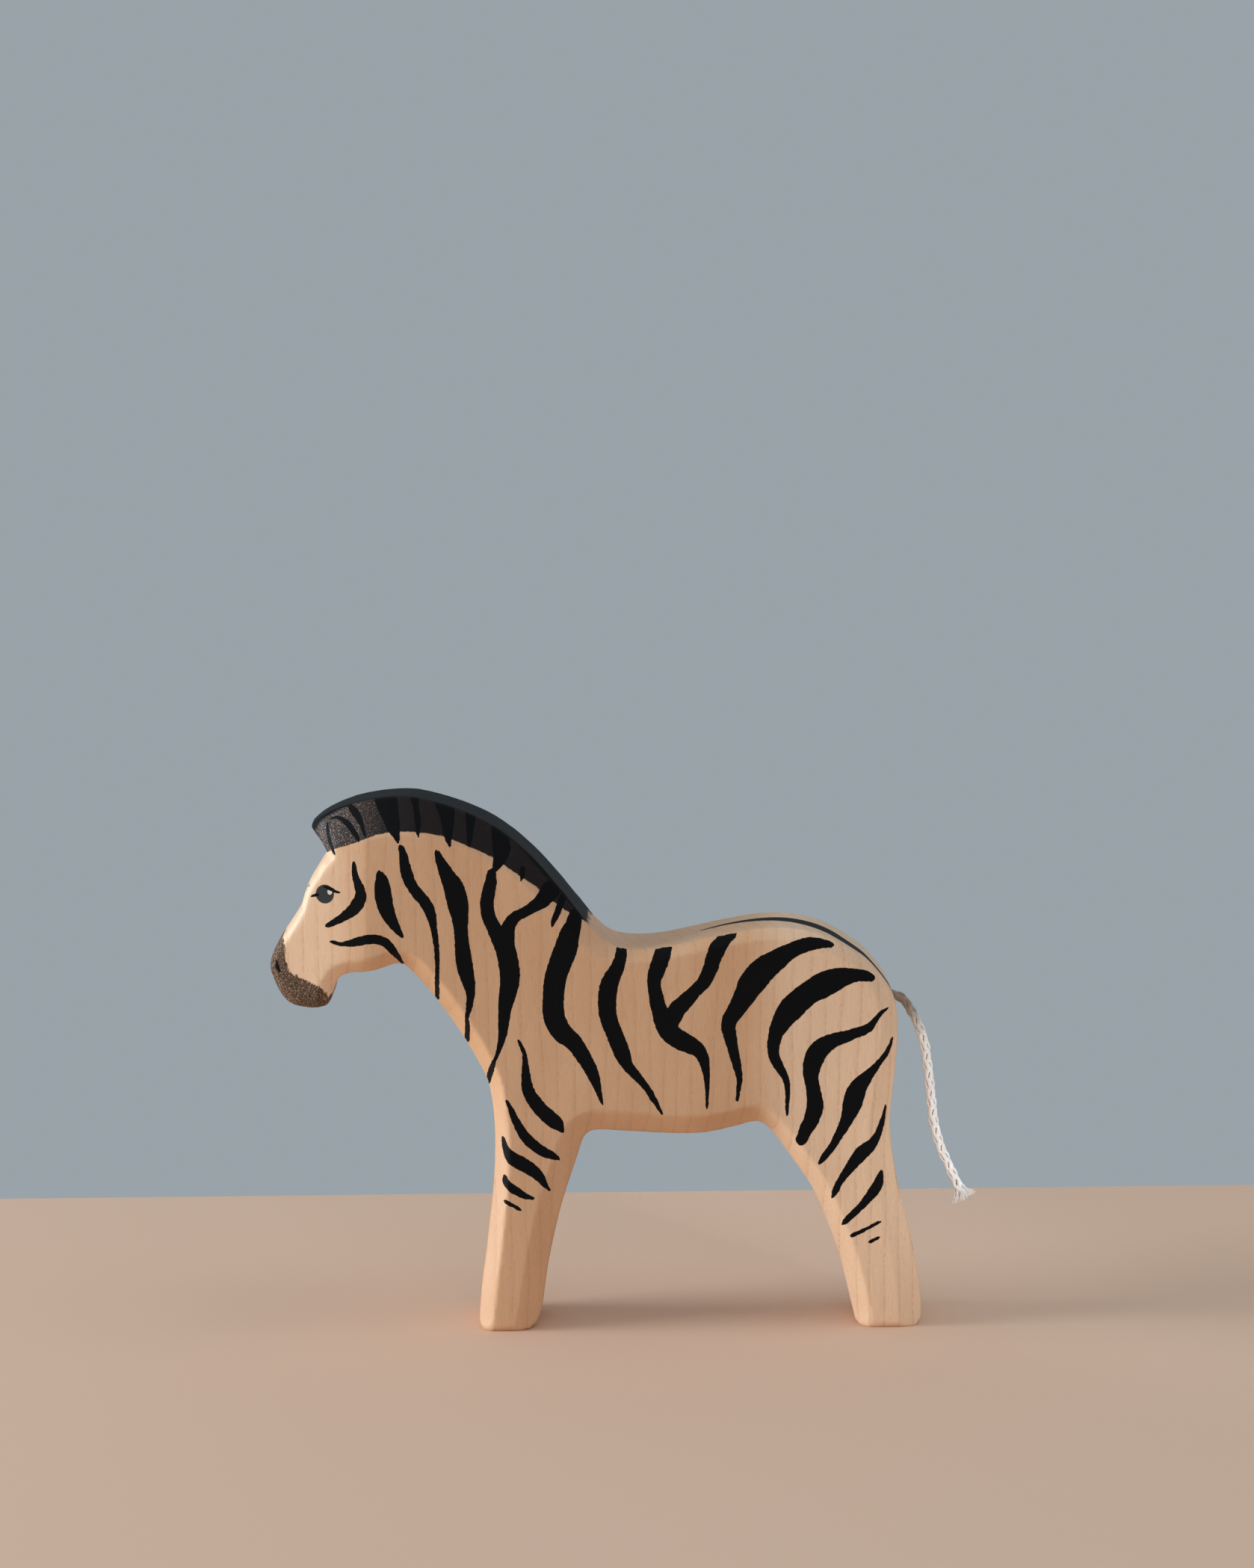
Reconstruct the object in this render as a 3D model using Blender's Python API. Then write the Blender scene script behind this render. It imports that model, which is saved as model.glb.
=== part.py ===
"""Zebra figurine: a silhouette sawn from a plank, faceted along its edges, with a cord for a tail.

The body is one block. Its side view is a smooth closed outline. The block is as thick as its plank in
the middle of each side and slopes in to a narrower rim along the outline, wide along the mane, legs and
belly and narrow along the back. The head tapers towards the muzzle. Both sides are the same.

The figure faces -X, its left side faces -Y, and it stands on Z = 0. Units are metres.
"""

import math

import bmesh
import bpy
import numpy as np
from mathutils import Vector
from mathutils.geometry import delaunay_2d_cdt

# Driving sizes
HEIGHT = 0.148          # table to the highest point of the mane
PLANK = 0.028           # thickness of the plank the figure is sawn from
CORD_DIAMETER = 0.0028  # braided cord of the tail
CORD_GAP = 0.0003       # space between the cord and the hole it is glued into, all round
SOCKET_DEPTH = 0.009    # how far the hole runs into the rump
FOOT_EASE = 0.0012      # rounding of the edge around each foot's underside

# Fineness of the body's mesh
EDGE_STEP = 0.0024      # greatest distance between points along the outline
GRID_STEP = 0.0060      # distance between points on the flat of each side
SOCKET_SIDES = 24
RIDGE_REACH = 0.93      # a ridge point this close to its place by another facet's measure is kept

# Carving, as shares of the figure's height (widths) or of the plank's half thickness (rims)
MANE_RIM = 0.58
BACK_RIM = 0.86
LEG_RIM = 0.71
FACE_RIM = 0.76
NOSE_RIM = 0.88
FOOT_RIM = 0.93
HEAD_TAPER_FROM = -0.417   # upright line behind the cheek where the head starts to taper
HEAD_TAPER_TO = -0.600     # the nose
MUZZLE_THICKNESS = 0.68    # half thickness left at the nose, as a share of the plank's

# The outline as shares of the figure's height, clockwise from the tip of the forelock as seen on the
# left side. Each stretch: name, whether it starts at a sharp corner, width of the sloping facet at its
# start and end, rim at its start and end, and the points of its curve.
FOOT_WIDTH = FOOT_EASE / HEIGHT
OUTLINE = [
    ("forelock crest", True, (0.040, 0.064), (0.46, MANE_RIM),
     [(-0.521, 0.945), (-0.499, 0.964), (-0.472, 0.978), (-0.444, 0.988)]),
    ("mane crest", False, (0.066, 0.054), (MANE_RIM, 0.66),
     [(-0.403, 0.997), (-0.337, 1.000), (-0.284, 0.989), (-0.230, 0.970), (-0.176, 0.941)]),
    ("mane end", False, (0.044, 0.030), (0.74, BACK_RIM),
     [(-0.122, 0.897), (-0.068, 0.837), (-0.028, 0.786)]),
    ("withers", False, (0.030, 0.018), (BACK_RIM, BACK_RIM),
     [(-0.002, 0.752), (0.027, 0.727), (0.061, 0.718), (0.112, 0.718)]),
    ("back", False, (0.017, 0.019), (BACK_RIM, BACK_RIM),
     [(0.175, 0.729), (0.230, 0.741), (0.297, 0.752), (0.344, 0.754), (0.390, 0.748), (0.429, 0.735)]),
    ("rump", False, (0.021, 0.034), (BACK_RIM, 0.76),
     [(0.470, 0.711), (0.498, 0.691), (0.527, 0.657), (0.548, 0.622), (0.556, 0.583),
      (0.554, 0.520), (0.548, 0.456)]),
    ("hind leg, rear edge", False, (0.038, 0.041), (0.73, LEG_RIM),
     [(0.542, 0.392), (0.543, 0.349), (0.553, 0.284), (0.563, 0.235), (0.582, 0.155),
      (0.594, 0.080), (0.599, 0.028)]),
    ("hind heel", False, (0.036, FOOT_WIDTH), (0.76, FOOT_RIM),
     [(0.5975, 0.010), (0.588, 0.000)]),
    ("hind foot, underside", True, (FOOT_WIDTH, FOOT_WIDTH), (FOOT_RIM, FOOT_RIM),
     [(0.588, 0.000), (0.488, 0.000)]),
    ("hind toe", True, (FOOT_WIDTH, 0.026), (FOOT_RIM, 0.76),
     [(0.488, 0.000), (0.478, 0.006)]),
    ("hind leg, front edge", False, (0.032, 0.028), (LEG_RIM, LEG_RIM),
     [(0.472, 0.027), (0.459, 0.085), (0.444, 0.143), (0.423, 0.202), (0.397, 0.260),
      (0.354, 0.327), (0.327, 0.364), (0.312, 0.381)]),
    ("belly", False, (0.034, 0.042), (LEG_RIM, LEG_RIM),
     [(0.294, 0.3885), (0.260, 0.380), (0.208, 0.369), (0.160, 0.366), (0.113, 0.368),
      (0.029, 0.374), (0.001, 0.375)]),
    ("front leg, rear edge", False, (0.041, 0.041), (LEG_RIM, LEG_RIM),
     [(-0.017, 0.371), (-0.027, 0.357), (-0.034, 0.335), (-0.049, 0.293), (-0.063, 0.250),
      (-0.079, 0.192), (-0.091, 0.135), (-0.101, 0.077), (-0.107, 0.037)]),
    ("front heel", False, (0.036, FOOT_WIDTH), (0.74, FOOT_RIM),
     [(-0.113, 0.017), (-0.125, 0.005), (-0.142, 0.000)]),
    ("front foot, underside", True, (FOOT_WIDTH, FOOT_WIDTH), (FOOT_RIM, FOOT_RIM),
     [(-0.142, 0.000), (-0.213, 0.000)]),
    ("front toe", True, (FOOT_WIDTH, 0.024), (FOOT_RIM, 0.76),
     [(-0.213, 0.000), (-0.2215, 0.006)]),
    ("front leg, front edge", False, (0.028, 0.025), (LEG_RIM, LEG_RIM),
     [(-0.223, 0.027), (-0.216, 0.093), (-0.208, 0.150), (-0.201, 0.207), (-0.194, 0.265),
      (-0.190, 0.314), (-0.189, 0.357), (-0.190, 0.400), (-0.195, 0.444), (-0.201, 0.471)]),
    ("chest and throat", False, (0.027, 0.030), (LEG_RIM, LEG_RIM),
     [(-0.221, 0.513), (-0.245, 0.555), (-0.273, 0.598), (-0.306, 0.642), (-0.338, 0.678)]),
    ("jaw", False, (0.028, 0.022), (0.74, FACE_RIM),
     [(-0.351, 0.691), (-0.364, 0.693), (-0.395, 0.683), (-0.419, 0.677), (-0.452, 0.675),
      (-0.470, 0.667), (-0.481, 0.651), (-0.485, 0.630)]),
    ("chin", False, (0.020, 0.012), (FACE_RIM, NOSE_RIM),
     [(-0.494, 0.615), (-0.510, 0.610), (-0.542, 0.611), (-0.566, 0.620), (-0.583, 0.642),
      (-0.594, 0.668)]),
    ("nose", False, (0.011, 0.009), (NOSE_RIM, NOSE_RIM),
     [(-0.599, 0.688), (-0.594, 0.709), (-0.578, 0.736), (-0.559, 0.763), (-0.541, 0.793)]),
    ("forehead", False, (0.009, 0.012), (NOSE_RIM, NOSE_RIM),
     [(-0.530, 0.828), (-0.512, 0.859), (-0.495, 0.885), (-0.487, 0.895)]),
    ("underside of the forelock", True, (0.014, 0.030), (0.80, 0.50),
     [(-0.487, 0.895), (-0.497, 0.913), (-0.521, 0.945)]),
]

# The tail's course from inside its hole to its frayed end, as shares of the figure's height
TAIL_HOLE_SLOPE = -0.30    # fall of the hole's axis towards its mouth, for each unit outwards
TAIL_MOUTH = (0.5535, 0.610)
TAIL_COURSE = [
    (0.5640, 0.6062), (0.5725, 0.5990), (0.5800, 0.5890), (0.5868, 0.5770), (0.5950, 0.5600),
    (0.6040, 0.5380), (0.6098, 0.5170), (0.6130, 0.4970), (0.6158, 0.4760), (0.6180, 0.4550),
    (0.6200, 0.4330), (0.6220, 0.4120), (0.6242, 0.3910), (0.6270, 0.3690), (0.6315, 0.3480),
    (0.6378, 0.3260), (0.6460, 0.3050), (0.6555, 0.2830), (0.6655, 0.2610), (0.6750, 0.2400),
]


def clear_scene():
    for item in list(bpy.data.objects):
        bpy.data.objects.remove(item, do_unlink=True)


def material(name, colour, roughness):
    finish = bpy.data.materials.new(name)
    finish.use_nodes = True
    shader = finish.node_tree.nodes["Principled BSDF"]
    shader.inputs["Base Color"].default_value = (*colour, 1.0)
    shader.inputs["Roughness"].default_value = roughness
    shader.inputs["Metallic"].default_value = 0.0
    return finish


def smooth_run(points, step):
    """Points of a smooth curve through the given ones, at most step apart, with its knots marked."""
    knots = [np.array(point, float) for point in points]
    padded = [2 * knots[0] - knots[1], *knots, 2 * knots[-1] - knots[-2]]
    curve = []
    for index in range(len(knots) - 1):
        before, start, end, after = padded[index:index + 4]
        # Centripetal spacing keeps the curve from looping where knots are close together
        times = np.cumsum([0.0] + [
            math.sqrt(np.linalg.norm(b - a)) for a, b in ((before, start), (start, end), (end, after))
        ])
        span = times[2] - times[1]
        start_slope = ((start - before) / times[1] - (end - before) / times[2]
                       + (end - start) / span) * span
        end_slope = ((end - start) / span - (after - start) / (times[3] - times[1])
                     + (after - end) / (times[3] - times[2])) * span
        count = max(1, math.ceil(np.linalg.norm(end - start) / step))
        for part in range(count):
            t = part / count
            place = ((2 * t ** 3 - 3 * t ** 2 + 1) * start + (t ** 3 - 2 * t ** 2 + t) * start_slope
                     + (3 * t ** 2 - 2 * t ** 3) * end + (t ** 3 - t ** 2) * end_slope)
            curve.append((place, index + t))
    curve.append((knots[-1], float(len(knots) - 1)))
    return curve


def outline_runs():
    """The stretches joined into runs that start and end at sharp corners: points, widths and rims."""
    runs = []
    for name, corner, widths, rims, points in OUTLINE:
        if corner:
            runs.append(([], [], []))
        run_points, run_widths, run_rims = runs[-1]
        for index, point in enumerate(points):
            share = index / (len(points) - 1)
            run_points.append(point)
            run_widths.append(widths[0] + share * (widths[1] - widths[0]))
            run_rims.append(rims[0] + share * (rims[1] - rims[0]))
    return runs


def body_outline():
    """Outline points in metres (x, z), each with the facet's width in metres and its rim share."""
    runs = outline_runs()
    points, widths, rims = [], [], []
    for index, (run_points, run_widths, run_rims) in enumerate(runs):
        next_start = runs[(index + 1) % len(runs)][0][0]
        if run_points[-1] != next_start:
            run_points, run_widths, run_rims = (
                run_points + [next_start], run_widths + run_widths[-1:], run_rims + run_rims[-1:]
            )
        scaled = [(x * HEIGHT, z * HEIGHT) for x, z in run_points]
        for place, along in smooth_run(scaled, EDGE_STEP)[:-1]:
            points.append(place)
            widths.append(HEIGHT * np.interp(along, range(len(run_widths)), run_widths))
            rims.append(np.interp(along, range(len(run_rims)), run_rims))
    return np.array(points), np.array(widths), np.array(rims)


def head_taper(x):
    """Half thickness left by the taper of the head, as a share of the plank's."""
    share = (HEAD_TAPER_FROM * HEIGHT - x) / ((HEAD_TAPER_FROM - HEAD_TAPER_TO) * HEIGHT)
    return 1.0 - (1.0 - MUZZLE_THICKNESS) * np.clip(share, 0.0, 1.0)


class Carving:
    """How thick the block is left at each place on its side, from the facets along its outline."""

    def __init__(self, points, widths, rims):
        self.starts = points
        self.spans = np.roll(points, -1, axis=0) - points
        self.lengths = (self.spans ** 2).sum(axis=1)
        self.widths = (widths, np.roll(widths, -1) - widths)
        self.rims = (rims, np.roll(rims, -1) - rims)

    def facet(self, place):
        """Share of the plank's half thickness left by the facets, and the distance to the outline."""
        offsets = place - self.starts
        along = np.clip((offsets * self.spans).sum(axis=1) / self.lengths, 0.0, 1.0)
        gaps = offsets - along[:, None] * self.spans
        distances = np.sqrt((gaps ** 2).sum(axis=1))
        widths = self.widths[0] + along * self.widths[1]
        rims = self.rims[0] + along * self.rims[1]
        left = rims + (1.0 - rims) * np.minimum(1.0, distances / widths)
        return left.min(), distances.min(), (distances / widths).min()

    def half_thickness(self, place):
        return PLANK / 2 * self.facet(place)[0] * float(head_taper(place[0]))


def inward_normals(points):
    """Unit normals that point into the figure from its clockwise outline."""
    along = np.roll(points, -1, axis=0) - np.roll(points, 1, axis=0)
    along /= np.linalg.norm(along, axis=1)[:, None]
    return np.stack([along[:, 1], -along[:, 0]], axis=1)


def inside(place, points):
    """True where a vertical ray from the place crosses the outline an odd number of times."""
    ends = np.roll(points, -1, axis=0)
    spans = (points[:, 0] > place[0]) != (ends[:, 0] > place[0])
    if not spans.any():
        return False
    a, b = points[spans], ends[spans]
    heights = a[:, 1] + (place[0] - a[:, 0]) * (b[:, 1] - a[:, 1]) / (b[:, 0] - a[:, 0])
    return int((heights > place[1]).sum()) % 2 == 1


def ridge_places(points, widths):
    """Where the facets end on the side of the block, closer together round the hollow corners."""
    normals = inward_normals(points)
    for index, (place, normal, width) in enumerate(zip(points, normals, widths)):
        after = (index + 1) % len(points)
        step = points[after] + normals[after] * widths[after] - (place + normal * width)
        parts = max(1, round(np.linalg.norm(step) / EDGE_STEP))
        for part in range(parts):
            share = part / parts
            turned = normal + share * (normals[after] - normal)
            turned /= np.linalg.norm(turned)
            wide = width + share * (widths[after] - width)
            yield place + share * (points[after] - place), turned, wide


def side_points(points, widths, carving):
    """Points on the side, and edges between them: the facets' inner ridge, the crease and a grid."""
    extra, ridges = [], []
    for place, normal, width in ridge_places(points, widths):
        reach = carving.facet(place + normal * width)[2]
        ridge = place + normal * width / max(RIDGE_REACH, min(1.0, reach))
        on_ridge = inside(ridge, points) and reach > RIDGE_REACH
        if not on_ridge or any(np.linalg.norm(ridge - other) < EDGE_STEP / 2 for other in extra):
            continue
        if extra and np.linalg.norm(ridge - extra[-1]) < 2 * EDGE_STEP:
            ridges.append((len(extra) - 1, len(extra)))
        extra.append(ridge)
    low, high = points.min(axis=0), points.max(axis=0)
    columns = sorted([*np.arange(low[0] + GRID_STEP / 2, high[0], GRID_STEP), HEAD_TAPER_FROM * HEIGHT])
    crease = HEAD_TAPER_FROM * HEIGHT
    for x in columns:
        if x != crease and abs(x - crease) < GRID_STEP / 3:
            continue
        for z in np.arange(low[1] + GRID_STEP / 2, high[1], GRID_STEP):
            place = np.array([x, z])
            clear = inside(place, points) and carving.facet(place)[1] > EDGE_STEP / 2
            if clear and all(np.linalg.norm(place - other) > GRID_STEP / 3 for other in extra):
                extra.append(place)
    return extra, ridges


def build_body(finish):
    points, widths, rims = body_outline()
    carving = Carving(points, widths, rims)
    extra, ridges = side_points(points, widths, carving)
    flat = [Vector(place) for place in [*points, *extra]]
    count = len(points)
    edges = [(count + start, count + end) for start, end in ridges]
    sheet = delaunay_2d_cdt(flat, edges, [list(range(count))], 1, 1e-7)
    places, faces = sheet[0], sheet[2]

    mesh = bmesh.new()
    corners = []
    for place in places:
        here = np.array(place)
        corners.append(mesh.verts.new((place.x, -carving.half_thickness(here), place.y)))
    for face in faces:
        mesh.faces.new([corners[index] for index in face])
    edge = [side for side in mesh.edges if side.is_boundary]
    band = bmesh.ops.extrude_edge_only(mesh, edges=edge)["geom"]
    for item in band:
        if isinstance(item, bmesh.types.BMVert):
            item.co.y = 0.0
    bmesh.ops.mirror(mesh, geom=mesh.verts[:] + mesh.edges[:] + mesh.faces[:], axis="Y",
                     merge_dist=1e-6)
    bmesh.ops.recalc_face_normals(mesh, faces=mesh.faces[:])

    data = bpy.data.meshes.new("zebra_body")
    mesh.to_mesh(data)
    mesh.free()
    data.materials.append(finish)
    body = bpy.data.objects.new("zebra_body", data)
    bpy.context.collection.objects.link(body)
    return body


def tail_hole():
    """Mouth of the tail's hole in the rump and the direction of its axis, outwards."""
    mouth = Vector((TAIL_MOUTH[0] * HEIGHT, 0.0, TAIL_MOUTH[1] * HEIGHT))
    axis = Vector((1.0, 0.0, TAIL_HOLE_SLOPE)).normalized()
    return mouth, axis


def drill_socket(body):
    """Cut the round hole that the cord is glued into."""
    mouth, axis = tail_hole()
    overshoot = CORD_DIAMETER
    length = SOCKET_DEPTH + overshoot
    bpy.ops.mesh.primitive_cylinder_add(
        vertices=SOCKET_SIDES,
        radius=CORD_DIAMETER / 2 + CORD_GAP,
        depth=length,
        location=mouth + axis * (overshoot - SOCKET_DEPTH) / 2,
        rotation=axis.to_track_quat("Z", "Y").to_euler(),
    )
    drill = bpy.context.object
    drill.name = "tail_drill"
    drill.hide_render = True
    drill.display_type = "WIRE"
    cut = body.modifiers.new("tail socket", "BOOLEAN")
    cut.operation = "DIFFERENCE"
    cut.solver = "EXACT"
    cut.object = drill


def build_tail(finish):
    """The cord, from just above the bottom of its hole to its bare end."""
    mouth, axis = tail_hole()
    root = mouth - axis * (SOCKET_DEPTH - CORD_GAP)
    inner = mouth - axis * SOCKET_DEPTH / 2
    course = [(root.x, root.z), (inner.x, inner.z), (mouth.x, mouth.z)]
    course += [(x * HEIGHT, z * HEIGHT) for x, z in TAIL_COURSE]
    places = [place for place, along in smooth_run(course, 2.2 * CORD_DIAMETER)]

    line = bpy.data.curves.new("tail_cord", "CURVE")
    line.dimensions = "3D"
    line.bevel_depth = CORD_DIAMETER / 2
    line.bevel_resolution = 2
    line.use_fill_caps = True
    spline = line.splines.new("POLY")
    spline.points.add(len(places) - 1)
    for point, place in zip(spline.points, places):
        point.co = (place[0], 0.0, place[1], 1.0)
    line.materials.append(finish)
    tail = bpy.data.objects.new("tail_cord", line)
    bpy.context.collection.objects.link(tail)
    return tail


def main():
    clear_scene()
    wood = material("oiled pale wood", (0.50, 0.29, 0.15), 0.55)
    cotton = material("braided cotton", (0.55, 0.47, 0.38), 0.9)
    body = build_body(wood)
    drill_socket(body)
    build_tail(cotton)


main()
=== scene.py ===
"""Finish of the zebra figurine: sanded and painted wood, a braided cotton tail and a plain studio.

The figurine faces -X and its left side faces -Y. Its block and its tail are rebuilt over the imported
solids, which stay as they are. Places on the side of the block are millimetres along X and Z.
"""

import math
import random

import bmesh
import bpy
import numpy as np
from bpy.props import FloatProperty, FloatVectorProperty, IntProperty, PointerProperty
from mathutils import Matrix, Vector, noise


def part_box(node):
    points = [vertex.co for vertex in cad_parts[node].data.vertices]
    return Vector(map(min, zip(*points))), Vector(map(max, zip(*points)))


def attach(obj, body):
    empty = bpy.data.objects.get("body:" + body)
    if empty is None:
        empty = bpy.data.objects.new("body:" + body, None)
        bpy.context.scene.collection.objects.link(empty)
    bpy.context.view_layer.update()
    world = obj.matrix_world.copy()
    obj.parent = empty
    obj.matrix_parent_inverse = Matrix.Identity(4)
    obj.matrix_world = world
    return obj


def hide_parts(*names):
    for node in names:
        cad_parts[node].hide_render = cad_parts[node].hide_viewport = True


bl_info = {
    "name": "Painted zebra figurine",
    "version": (1, 0, 0),
    "blender": (4, 5, 0),
    "location": "3D View > Sidebar > Zebra",
    "description": "Carved and painted block, braided tail and studio of a wooden zebra",
    "category": "Object",
}

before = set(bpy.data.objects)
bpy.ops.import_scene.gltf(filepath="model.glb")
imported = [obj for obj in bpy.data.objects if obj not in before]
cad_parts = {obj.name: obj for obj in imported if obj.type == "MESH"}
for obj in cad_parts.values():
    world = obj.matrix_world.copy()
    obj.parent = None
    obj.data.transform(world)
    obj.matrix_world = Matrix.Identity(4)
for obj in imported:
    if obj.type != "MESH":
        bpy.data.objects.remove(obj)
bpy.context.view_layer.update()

MM = 0.001
HALF_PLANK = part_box("zebra_body")[1].y / MM     # the block's half thickness in millimetres

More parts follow.
